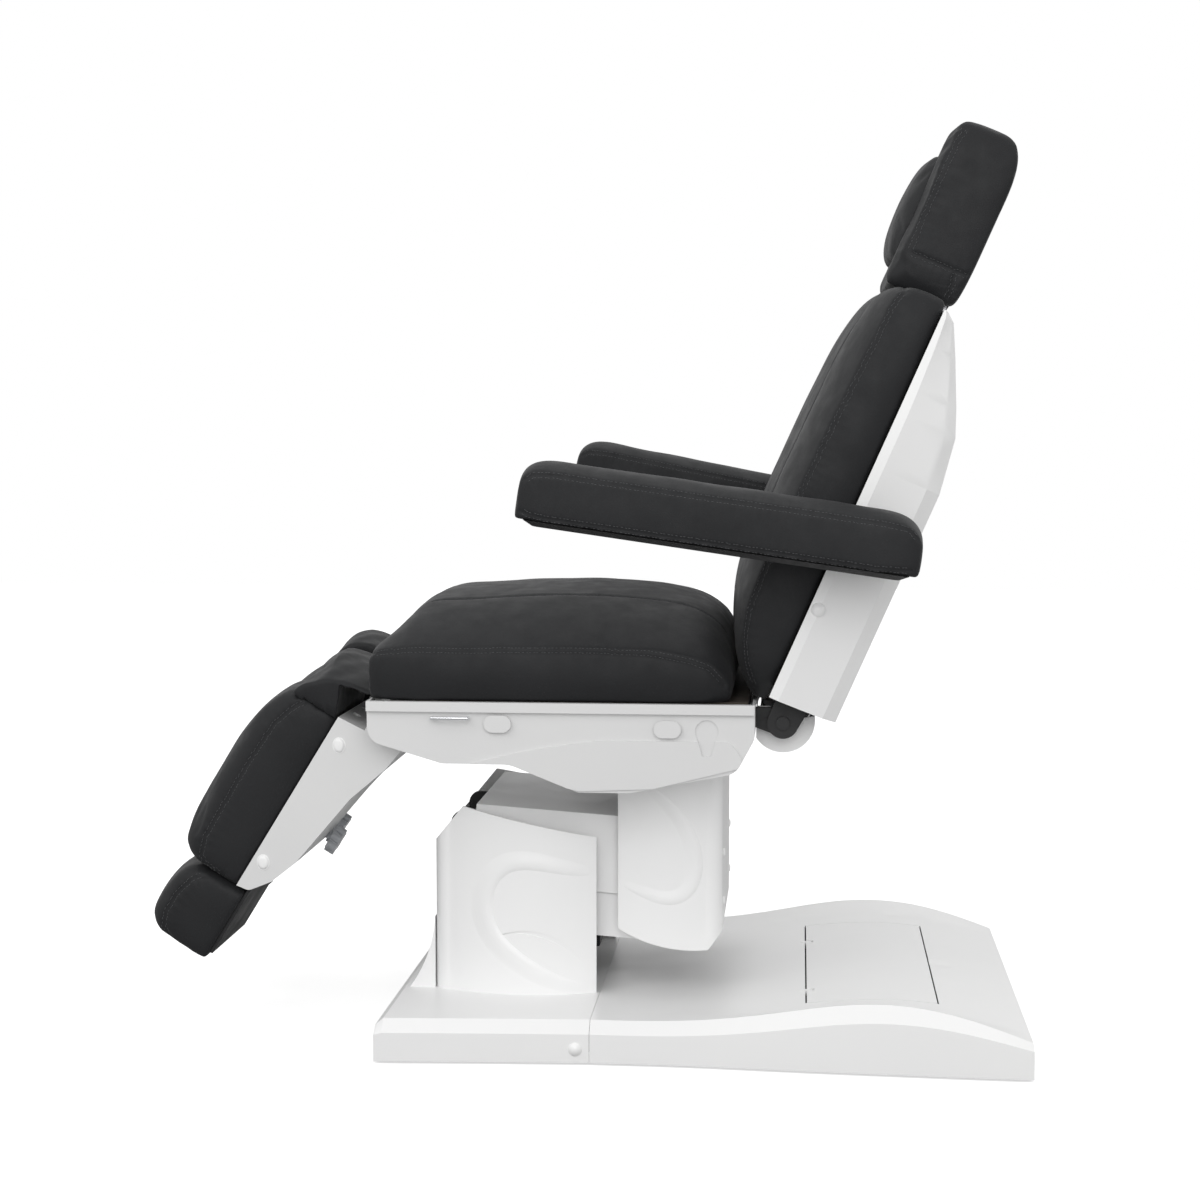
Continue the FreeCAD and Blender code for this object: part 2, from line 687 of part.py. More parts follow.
def base_pieces():
    """Plate, feet, the two covers, hatch, control box, inlet and caps."""
    plate_low = FOOT_HEIGHT
    plate_high = plate_low + PLATE
    nodes["base_plate"] = block(-PLATE_HALF_X, PLATE_HALF_X, -PLATE_HALF_Y, PLATE_HALF_Y, plate_low,
                                plate_high)
    feet = []
    for x, y in ((-FOOT_X, -FOOT_Y), (-FOOT_X, FOOT_Y), (FOOT_X, -FOOT_Y), (FOOT_X, FOOT_Y), (0, 0)):
        feet.append(Part.makeCone(FOOT_RADIUS, FOOT_RADIUS - EDGE_ROUND, FOOT_HEIGHT,
                                  FreeCAD.Vector(x, y, 0)))
    nodes["rubber_feet"] = Part.makeCompound(feet)

    front_form = base_loft(BASE_FRONT_SHARES, 0, 0)
    front = front_form.cut(base_loft(BASE_FRONT_SHARES, COVER_WALL, COVER_WALL))
    for boss in screw_bosses(front_form, FRONT_BOSS_X, plate_high):
        front = front.fuse(boss)
    flare_x = COLUMN_FRONT_X - SEAM_GAP
    flare_low = BASE_TOP_FRONT - COVER_WALL
    flare = across(bowed_wire, ((flare_x - FLARE_REACH, flare_low, 0), (flare_x, flare_low, 0),
                                (flare_x, FLARE_TOP, -FLARE_BOW)), -FLARE_HALF, FLARE_HALF)
    well = block(COLUMN_FRONT_X + COVER_WALL * 2, COLUMN_REAR_X, -COLUMN_HALF + COLUMN_ROUND,
                 COLUMN_HALF - COLUMN_ROUND, COVER_LIFT, BASE_CREST)
    front = front.cut(well).fuse(flare)
    gap = block(PARTING_X - SEAM_GAP, PARTING_X, -BASE_HALF, BASE_HALF, 0, BASE_CREST)
    cap = dome(CAP_RADIUS, CAP_RISE)
    cap.rotate(ORIGIN, AXIS_X, QUARTER_TURN)
    cap.translate(FreeCAD.Vector(BASE_CAP_X, -BASE_HALF * BASE_FRONT_SHARES[3][1] - SEAM_GAP, BASE_CAP_Z))
    nodes["base_front_cover"] = one(front.cut(gap).fuse(cap).fuse(mirrored(cap)))

    outer = base_loft(BASE_REAR_SHARES, 0, 0)
    inner = base_loft(BASE_REAR_SHARES, COVER_WALL, COVER_WALL)
    skin = outer.cut(inner)
    opening = block(HATCH_X0, HATCH_X1, -HATCH_HALF, HATCH_HALF, COVER_LIFT, BASE_CREST + OVERRUN)
    lid_room = block(HATCH_X0 + HATCH_GAP, HATCH_X1 - HATCH_GAP, -HATCH_HALF + HATCH_GAP,
                     HATCH_HALF - HATCH_GAP,
                     COVER_LIFT, BASE_CREST + OVERRUN)
    scoop_x = HATCH_X1 + SCOOP_LENGTH / 2
    scoop_z = surface_height(outer, scoop_x)
    slope = math.atan2(surface_height(outer, HATCH_X1 + SCOOP_LENGTH) - surface_height(outer, HATCH_X1),
                       SCOOP_LENGTH)
    lift = SCOOP_BALL - SCOOP_DEPTH
    scoop = Part.makeSphere(SCOOP_BALL, FreeCAD.Vector(scoop_x - lift * math.sin(slope), 0,
                                                       scoop_z + lift * math.cos(slope)))
    niche = block(BASE_LENGTH / 2 - INLET_DEPTH, BASE_LENGTH / 2 + OVERRUN, INLET_Y - INLET_WIDTH / 2,
                  INLET_Y + INLET_WIDTH / 2, INLET_Z - INLET_HEIGHT / 2, INLET_Z + INLET_HEIGHT / 2)
    hinge_x = HATCH_X0 + HATCH_GAP + HATCH_KNUCKLE_R
    hinge_z = surface_height(outer, hinge_x) - HATCH_PIN_BELOW
    lugs = []
    pins = []
    knuckles = []
    holes = []
    notches = []
    for side in (-1, 1):
        middle = side * HATCH_KNUCKLE_Y
        reach = HATCH_KNUCKLE_HALF + SIDE_PLAY
        knuckle = bar(hinge_x, hinge_z, HATCH_KNUCKLE_R, middle - HATCH_KNUCKLE_HALF,
                      middle + HATCH_KNUCKLE_HALF)
        stem = block(hinge_x - HATCH_KNUCKLE_R / 2, hinge_x + HATCH_KNUCKLE_R,
                     middle - HATCH_KNUCKLE_HALF,
                     middle + HATCH_KNUCKLE_HALF, hinge_z, hinge_z + HATCH_PIN_BELOW + OVERRUN * 2)
        knuckles.append(knuckle.fuse(stem.common(outer)))
        holes.append(bar(hinge_x, hinge_z, HATCH_PIN_R + RUN_FIT, middle - reach - HATCH_LEDGE,
                         middle + reach))
        pins.append(bar(hinge_x, hinge_z, HATCH_PIN_R, middle - reach - HATCH_LEDGE, middle + reach))
        lug_y0 = middle - reach - HATCH_LEDGE
        lug = block(HATCH_X0 - COVER_WALL * 2, hinge_x + HATCH_KNUCKLE_R, lug_y0, lug_y0 + HATCH_LEDGE,
                    hinge_z - HATCH_KNUCKLE_R, hinge_z + HATCH_KNUCKLE_R)
        notches.append(block(HATCH_X0, hinge_x + HATCH_KNUCKLE_R * 2, lug_y0 - SIDE_PLAY,
                             lug_y0 + HATCH_LEDGE + SIDE_PLAY, COVER_LIFT, BASE_CREST))
        post = block(HATCH_X0 - COVER_WALL * 2, HATCH_X0, lug_y0, lug_y0 + HATCH_LEDGE,
                     hinge_z - HATCH_KNUCKLE_R, BASE_CREST).common(outer)
        lugs.append(lug.fuse(post).cut(bar(hinge_x, hinge_z, HATCH_PIN_R, lug_y0, lug_y0 + HATCH_LEDGE)))
    rear = skin.cut(opening).cut(scoop).cut(niche)
    for boss in screw_bosses(outer, REAR_BOSS_X, plate_high):
        rear = rear.fuse(boss)
    for lug in lugs:
        rear = rear.fuse(lug)
    nodes["base_rear_cover"] = one(rear)
    nodes["hatch_hinge_pins"] = Part.makeCompound(pins)
    lid_slab = skin.common(lid_room).Solids[0]
    for notch in notches:
        lid_slab = lid_slab.cut(notch)
    for knuckle, hole in zip(knuckles, holes):
        lid_slab = lid_slab.fuse(knuckle).cut(hole)
    nodes["base_hatch"] = one(lid_slab)

    box_x0 = (HATCH_X0 + HATCH_X1 - BOX_LENGTH) / 2
    case = block(box_x0, box_x0 + BOX_LENGTH, BOX_Y0, BOX_Y1, plate_high, plate_high + BOX_HEIGHT)
    pitch = (BOX_Y1 - BOX_Y0) / BOX_RIB_COUNT
    for index in range(BOX_RIB_COUNT):
        rib_y = BOX_Y0 + pitch * index + (pitch - BOX_RIB) / 2
        groove = block(box_x0 - OVERRUN, box_x0 + BOX_LENGTH + OVERRUN, rib_y, rib_y + BOX_RIB,
                       plate_high + BOX_HEIGHT - BOX_RIB, plate_high + BOX_HEIGHT + OVERRUN)
        case = case.cut(groove)
    nodes["control_box"] = case

    inlet_x1 = BASE_LENGTH / 2
    inlet = block(inlet_x1 - INLET_DEPTH, inlet_x1, INLET_Y - INLET_WIDTH / 2, INLET_Y + INLET_WIDTH / 2,
                  INLET_Z - INLET_HEIGHT / 2, INLET_Z + INLET_HEIGHT / 2)
    cavity = block(inlet_x1 - INLET_CAVITY, inlet_x1 + OVERRUN, INLET_Y - INLET_WIDTH / 2 + INLET_WALL,
                   INLET_Y + INLET_WIDTH / 2 - INLET_WALL, INLET_Z - INLET_HEIGHT / 2 + INLET_WALL,
                   INLET_Z + INLET_HEIGHT / 2 - INLET_WALL)
    nodes["mains_inlet"] = inlet.cut(cavity)


def dome(radius, rise):
    """Shallow round cap standing on Z = 0."""
    ball_r = (radius * radius + rise * rise) / (2 * rise)
    ball = Part.makeSphere(ball_r, FreeCAD.Vector(0, 0, rise - ball_r))
    return ball.common(Part.makeCylinder(radius, rise, ORIGIN, AXIS_Z))


# Lift column


def column_plan(front, rear, half, bulge, round_r, inset, rear_reach):
    """Plan outline of a column cover with bowed sides and round front corners."""
    f = front + inset
    r = rear + rear_reach
    h = half - inset
    sag = round_r * CORNER_SAG_SHARE
    return ((f + round_r, -h, bulge), (r, -h, 0), (r, h, bulge), (f + round_r, h, sag),
            (f, h - round_r, 0),
            (f, -h + round_r, sag))


def share_outline(shares, x0, length, z0, height):
    """Outline points from shares of a panel's length and height; bows are shares of the height."""
    return [(x0 + length * a, z0 + height * b, height * bow) for a, b, bow in shares]


def column_pieces():
    """Front cover on the base, rear cover under the seat."""
    low = BASE_TOP_FRONT
    length = COLUMN_REAR_X - COLUMN_FRONT_X
    outer_plan = column_plan(COLUMN_FRONT_X, COLUMN_REAR_X, COLUMN_HALF, COLUMN_BULGE, COLUMN_ROUND, 0, 0)
    inner_plan = column_plan(COLUMN_FRONT_X, COLUMN_REAR_X, COLUMN_HALF, COLUMN_BULGE, COLUMN_ROUND,
                             COVER_WALL, OVERRUN)
    skin_plan = column_plan(COLUMN_FRONT_X, COLUMN_REAR_X, COLUMN_HALF, COLUMN_BULGE, COLUMN_ROUND,
                            EMBOSS, OVERRUN)
    outer = upright(bowed_wire, outer_plan, low, COLUMN_PEAK)
    shell = outer.cut(upright(bowed_wire, inner_plan, low - OVERRUN, COLUMN_PEAK + OVERRUN))
    skin = outer.cut(upright(bowed_wire, skin_plan, low - OVERRUN, COLUMN_PEAK + OVERRUN))
    roof = across(bowed_wire,
                  sharp(((COLUMN_FRONT_X - OVERRUN, COLUMN_FRONT_TOP), (COLUMN_PEAK_X, COLUMN_PEAK),
                                     (COLUMN_REAR_X + OVERRUN, COLUMN_REAR_TOP),
                                     (COLUMN_REAR_X + OVERRUN, COLUMN_PEAK * 2),
                                     (COLUMN_FRONT_X - OVERRUN, COLUMN_PEAK * 2))),
                  -COLUMN_HALF * 2, COLUMN_HALF * 2)
    shell = shell.cut(roof)
    height = COLUMN_PEAK - low
    for shares in (ARCH_SHARES, SWEEP_SHARES):
        tool = across(bowed_wire, share_outline(shares, COLUMN_FRONT_X, length, low, height),
                      -COLUMN_HALF * 2, COLUMN_HALF * 2)
        shell = shell.cut(skin.common(tool))
    nodes["column_front_cover"] = one(shell)

    riser_length = RISER_REAR_X - RISER_FRONT_X
    plan = column_plan(-RISER_REAR_X, -RISER_FRONT_X, COLUMN_HALF, RISER_BULGE, COLUMN_ROUND, 0, 0)
    plan_inner = column_plan(-RISER_REAR_X, -RISER_FRONT_X, COLUMN_HALF, RISER_BULGE, COLUMN_ROUND,
                             COVER_WALL, OVERRUN)
    plan_skin = column_plan(-RISER_REAR_X, -RISER_FRONT_X, COLUMN_HALF, RISER_BULGE, COLUMN_ROUND, EMBOSS,
                            OVERRUN)
    walls = []
    for corners in (plan, plan_inner, plan_skin):
        wall = upright(bowed_wire, corners, RISER_LOW_Z - OVERRUN, SHELL_TOP)
        wall.rotate(ORIGIN, AXIS_Z, HALF_TURN)
        walls.append(wall)
    side = across(bowed_wire,
                  ((RISER_FRONT_X - OVERRUN, RISER_FRONT_Z, RISER_BULGE), (RISER_LOW_X, RISER_LOW_Z, 0),
                               (RISER_REAR_X + OVERRUN, RISER_FRONT_Z, 0), (RISER_REAR_X + OVERRUN,
                                                                            SHELL_TOP, 0),
                               (RISER_FRONT_X - OVERRUN, SHELL_TOP,
                                0)), -COLUMN_HALF * 2, COLUMN_HALF * 2)
    riser = walls[0].cut(walls[1]).common(side).cut(seat_body(0))
    petal = across(bowed_wire, share_outline(PETAL_SHARES, RISER_FRONT_X, riser_length, RISER_LOW_Z,
                                             SHELL_FLOOR_Z - RISER_LOW_Z), -COLUMN_HALF * 2,
                                             COLUMN_HALF * 2)
    riser = riser.cut(walls[0].cut(walls[2]).common(petal))
    nodes["column_rear_cover"] = max(riser.Solids, key=lambda solid: solid.Volume)


# Lift mechanism


def lift_points():
    """Front and rear pivots of the lower and the upper arm."""
    dx = ARM_LENGTH * math.cos(math.radians(ARM_TILT))
    dz = -ARM_LENGTH * math.sin(math.radians(ARM_TILT))
    return {
        "front_low": (LIFT_X, LIFT_Z), "front_high": (LIFT_X, LIFT_Z + ARM_RISE),
        "rear_low": (LIFT_X + dx, LIFT_Z + dz), "rear_high": (LIFT_X + dx, LIFT_Z + dz + ARM_RISE),
    }


def lift_arm(extra):
    """Pair of bars joined by their pivot tubes, drawn level from the front pivot."""
    inner = ARM_OUTER - ARM_BAR
    profile = [(-ARM_HALF_HEIGHT, -ARM_HALF_HEIGHT, ARM_END_ROUND),
               (ARM_LENGTH + ARM_HALF_HEIGHT, -ARM_HALF_HEIGHT, ARM_END_ROUND),
               (ARM_LENGTH + ARM_HALF_HEIGHT, ARM_HALF_HEIGHT, ARM_END_ROUND),
               (-ARM_HALF_HEIGHT, ARM_HALF_HEIGHT, ARM_END_ROUND)]
    arm = across(rounded_wire, profile, inner, ARM_OUTER)
    arm = arm.fuse(mirrored(arm))
    for x in (0, ARM_LENGTH):
        arm = arm.fuse(bar(x, 0, ARM_TUBE_R, -inner, inner))
    if extra is not None:
        arm = arm.fuse(extra)
    for x in (0, ARM_LENGTH):
        arm = arm.cut(bar(x, 0, LIFT_PIN_R + RUN_FIT, -ARM_OUTER - OVERRUN, ARM_OUTER + OVERRUN))
    return swung(one(arm), ARM_TILT, 0, 0)


def crank_spot():
    """Crank pin place from the lower front pivot at rest."""
    lead = math.radians(CRANK_LEAD)
    return -CRANK_RADIUS * math.sin(lead), -CRANK_RADIUS * math.cos(lead)


def crank():
    """Crank plate and pin under the lower arm's front tube, drawn with the arm level."""
    x, z = crank_spot()
    turn = math.radians(-ARM_TILT)
    local_x = x * math.cos(turn) + z * math.sin(turn)
    local_z = -x * math.sin(turn) + z * math.cos(turn)
    side = math.hypot(local_x, local_z)
    across_x = -local_z / side * CRANK_HUB_R
    across_z = local_x / side * CRANK_HUB_R
    plate = across(bowed_wire, sharp(((across_x, across_z), (-across_x, -across_z),
                                      (local_x - across_x, local_z - across_z),
                                      (local_x + across_x, local_z + across_z))), -CRANK_HALF, CRANK_HALF)
    eye = bar(local_x, local_z, CRANK_EYE_R, -CRANK_HALF, CRANK_HALF)
    pin_half = CRANK_HALF + SIDE_PLAY + YOKE_CHEEK
    return plate.fuse(eye).fuse(bar(local_x, local_z, CRANK_PIN_R, -pin_half, pin_half))


def yoke(x, z, swing, pin_r, half, cheek, rod_r, rod_end):
    """Slotted fork on a rod: the slot is tall enough for the pin's arc."""
    inner = half + SIDE_PLAY
    tall = swing / 2 + pin_r + YOKE_PLAY
    wide = pin_r + YOKE_PLAY
    reach = wide + YOKE_WALL
    side = 1 if rod_end > x else -1
    bridge = x + side * reach
    cheeks = block(min(x - reach, bridge), max(x + reach, bridge), -inner - cheek, inner + cheek,
                   z - tall - YOKE_WALL, z + tall + YOKE_WALL)
    throat = block(x - reach - OVERRUN, x + reach + OVERRUN, -inner, inner, z - tall * 4, z + tall * 4)
    slot = block(x - wide, x + wide, -inner - cheek - OVERRUN, inner + cheek + OVERRUN, z - tall,
                 z + tall)
    web_end = bridge + side * YOKE_WALL
    web = block(min(bridge, web_end), max(bridge, web_end), -inner - cheek, inner + cheek,
                z - tall - YOKE_WALL, z + rod_r)
    rod_length = abs(rod_end - web_end)
    rod = Part.makeCylinder(rod_r, rod_length, FreeCAD.Vector(web_end, 0, z), AXIS_X * side)
    return one(cheeks.cut(throat).cut(slot).fuse(web).fuse(rod))


def bracket(spots, low, high, half_x, foot_half_y, foot_x0, foot_x1, foot_low):
    """Two upright plates with pivot holes, joined by a flange."""
    inner = ARM_OUTER + SIDE_PLAY
    outer = inner + BRACKET_PLATE
    x = spots[0][0]
    plate = across(rounded_wire,
                   ((x - half_x, low, 0), (x + half_x, low, 0), (x + half_x, high, half_x / 2),
                                  (x - half_x, high, half_x / 2)), inner, outer)
    part = plate.fuse(mirrored(plate)).fuse(block(foot_x0, foot_x1, -foot_half_y, foot_half_y, foot_low,
                                                  foot_low + PLATE))
    for px, pz in spots:
        part = part.cut(bar(px, pz, LIFT_PIN_R + RUN_FIT, -outer - OVERRUN, outer + OVERRUN))
    return one(part)


def lift_pins(spots):
    """Pivot pins with a head at each end."""
    outer = ARM_OUTER + SIDE_PLAY + BRACKET_PLATE
    pins = []
    for x, z in spots:
        pin = bar(x, z, LIFT_PIN_R, -outer - PIN_HEAD, outer + PIN_HEAD)
        for side in (-1, 1):
            y0 = min(side * outer, side * (outer + PIN_HEAD))
            pin = pin.fuse(bar(x, z, LIFT_PIN_R + PIN_HEAD, y0, y0 + PIN_HEAD))
        pins.append(one(pin))
    return Part.makeCompound(pins)


def arm_cover(start, low, high, half, roof):
    """Half cover of the arms, drawn level from an arm's front pivot."""
    body = block(start, ARM_COVER_END, -half, half, low, high)
    inside_high = high - ARM_COVER_WALL if roof else high + OVERRUN
    inside_low = low - OVERRUN if roof else low + ARM_COVER_WALL
    return body.cut(block(start - OVERRUN, ARM_COVER_END + OVERRUN, -half + ARM_COVER_WALL,
                          half - ARM_COVER_WALL, inside_low, inside_high))


def lift_pieces():
    """Pedestal, arms, their covers, carriage, pins, lift actuator."""
    spots = lift_points()
    floor = FOOT_HEIGHT + PLATE
    pedestal_high = LIFT_Z + ARM_RISE + LIFT_PIN_R * 2
    foot_half = ARM_OUTER + SIDE_PLAY + BRACKET_PLATE * 2
    nodes["lift_pedestal"] = bracket((spots["front_low"], spots["front_high"]), floor, pedestal_high,
                                     BRACKET_HALF_X, foot_half, LIFT_X - BRACKET_HALF_X,
                                     LIFT_X + BRACKET_HALF_X + BRACKET_PLATE, floor)
    nodes["pedestal_pins"] = lift_pins((spots["front_low"], spots["front_high"]))
    carriage_high = SHELL_TOP - BOARD - PLATE
    rear = spots["rear_low"]
    nodes["lift_carriage"] = bracket((rear, spots["rear_high"]), rear[1] - LIFT_PIN_R * 2, carriage_high,
                                     BRACKET_HALF_X, CARRIAGE_TOP_HALF, CARRIAGE_TOP_X0, CARRIAGE_TOP_X1,
                                     carriage_high - PLATE)
    nodes["carriage_pins"] = lift_pins((rear, spots["rear_high"]))

    lower = lift_arm(crank())
    lower.translate(FreeCAD.Vector(LIFT_X, 0, LIFT_Z))
    nodes["lift_lower_arm"] = lower
    upper = lift_arm(None)
    upper.translate(FreeCAD.Vector(LIFT_X, 0, LIFT_Z + ARM_RISE))
    nodes["lift_upper_arm"] = upper

    stay_x = (ARM_TRAY_START + ARM_COVER_END) / 2
    upper_low = ARM_COVER_SEAM - ARM_RISE
    hood = arm_cover(ARM_HOOD_START, upper_low, ARM_COVER_ABOVE, ARM_COVER_HALF, True)
    hood_stay = block(stay_x - PLATE, stay_x + PLATE, -ARM_OUTER, ARM_OUTER, ARM_HALF_HEIGHT,
                      ARM_COVER_ABOVE - ARM_COVER_WALL)
    hood = one(hood.fuse(hood_stay))
    nodes["upper_arm_cover"] = swung(hood, ARM_TILT, LIFT_X, LIFT_Z + ARM_RISE)
    tray_half = ARM_COVER_HALF - ARM_COVER_WALL - ARM_COVER_PLAY
    tray = arm_cover(ARM_TRAY_START, -ARM_COVER_BELOW - ARM_COVER_WALL, ARM_COVER_SEAM - SEAM_GAP,
                     tray_half, False)
    tray = tray.cut(block(ARM_TRAY_START - OVERRUN, ARM_COVER_END + OVERRUN, -ARM_OUTER + ARM_BAR,
                          ARM_OUTER - ARM_BAR, -ARM_COVER_BELOW * 2, 0))
    tray_stay = block(stay_x - PLATE, stay_x + PLATE, ARM_OUTER - ARM_BAR, ARM_OUTER,
                      -ARM_COVER_BELOW - ARM_COVER_WALL, -ARM_HALF_HEIGHT)
    tray = Part.makeCompound([one(solid.fuse(stay)) for solid, stay in
                              zip(sorted(tray.Solids, key=lambda s: s.CenterOfMass.y),
                                  (mirrored(tray_stay), tray_stay))])
    nodes["lower_arm_cover"] = swung(tray, ARM_TILT, LIFT_X, LIFT_Z)

    pin_x, pin_z = crank_spot()
    swing = CRANK_RADIUS * (1 - math.cos(math.radians(CRANK_LEAD)))
    rod_z = LIFT_Z + pin_z - swing / 2
    rod_end = LIFT_DRIVE_X0 + LIFT_DRIVE_FOOT
    nodes["lift_actuator_rod"] = yoke(LIFT_X + pin_x, rod_z, swing, CRANK_PIN_R, CRANK_HALF, YOKE_CHEEK,
                                      LIFT_ROD_R, rod_end)
    drive = across(rounded_wire, ((LIFT_DRIVE_X0, rod_z - LIFT_DRIVE_HALF, EDGE_ROUND),
                                  (LIFT_DRIVE_X1, rod_z - LIFT_DRIVE_HALF, EDGE_ROUND),
                                  (LIFT_DRIVE_X1, rod_z + LIFT_DRIVE_HALF, EDGE_ROUND),
                                  (LIFT_DRIVE_X0, rod_z + LIFT_DRIVE_HALF, EDGE_ROUND)),
                   -LIFT_DRIVE_HALF, LIFT_DRIVE_HALF)
    motor = Part.makeCylinder(MOTOR_RADIUS, LIFT_MOTOR_LENGTH,
                              FreeCAD.Vector(LIFT_DRIVE_X1 - MOTOR_RADIUS, LIFT_DRIVE_HALF - OVERRUN,
                                             rod_z - LIFT_DRIVE_HALF + MOTOR_RADIUS), AXIS_Y)
    foot = block(LIFT_DRIVE_X0, LIFT_DRIVE_X0 + LIFT_DRIVE_FOOT, -LIFT_DRIVE_HALF, LIFT_DRIVE_HALF, floor,
                 rod_z - LIFT_DRIVE_HALF + OVERRUN)
    bore = Part.makeCylinder(LIFT_ROD_R + RUN_FIT, rod_end + LIFT_DRIVE_FOOT * 2 - LIFT_DRIVE_X0,
                             FreeCAD.Vector(LIFT_DRIVE_X0 - OVERRUN, 0, rod_z), AXIS_X)
    bore = bore.common(block(LIFT_DRIVE_X0 - OVERRUN, LIFT_DRIVE_X1 - OVERRUN, -LIFT_DRIVE_HALF,
                             LIFT_DRIVE_HALF,
                             0, rod_z * 2))
    nodes["lift_actuator"] = one(drive.fuse(motor).fuse(foot).cut(bore))


# Seat


def seat_outline(inset):
    """Side outline of the seat shell, rim height to keel."""
    return (
        (SEAT_FRONT_X + inset, SHELL_TOP, 0),
        (SEAT_FRONT_X + inset, SHELL_NOSE_Z + inset, SHELL_ROUND),
        (SHELL_FRONT_STEP_X, SHELL_FRONT_STEP_Z + inset, SHELL_ROUND),
        ((SHELL_FRONT_STEP_X + SHELL_KEEL_X0) / 2, SHELL_FRONT_STEP_Z + inset, SHELL_ROUND * 2),
        (SHELL_KEEL_X0, SHELL_FLOOR_Z + inset, 0),
        (SHELL_KEEL_X1, SHELL_FLOOR_Z + inset, SHELL_ROUND * 2),
        (SEAT_REAR_X - SHELL_ROUND - inset, SHELL_REAR_Z + inset, SHELL_ROUND),
        (SEAT_REAR_X - inset, (SHELL_REAR_Z + SHELL_TOP) / 2, SHELL_ROUND),
        (SEAT_REAR_X - inset, SHELL_TOP, 0),
    )


def seat_body(inset):
    """Solid form of the seat shell under its rim."""
    half = SHELL_HALF - inset
    return across(rounded_wire, seat_outline(inset), -half, half)


def hollow_tool():
    """Inside of the seat shell, open at the top and at the front between the leg rests."""
    half = SHELL_HALF - COVER_WALL
    inside = across(rounded_wire, seat_outline(COVER_WALL), -half, half)
    top = block(SEAT_FRONT_X + COVER_WALL, SEAT_REAR_X - COVER_WALL, -half, half, SHELL_TOP - RIM_HEIGHT,
                SHELL_TOP + OVERRUN)
    mouth_half = LEG_OUTER + LEG_LUG + SIDE_PLAY * 4
    mouth = block(SEAT_FRONT_X - OVERRUN, FRAME_FRONT_X + OVERRUN, -mouth_half, mouth_half, SHELL_FLOOR_Z,
                  SHELL_TOP + OVERRUN)
    return inside.fuse(top).fuse(mouth)


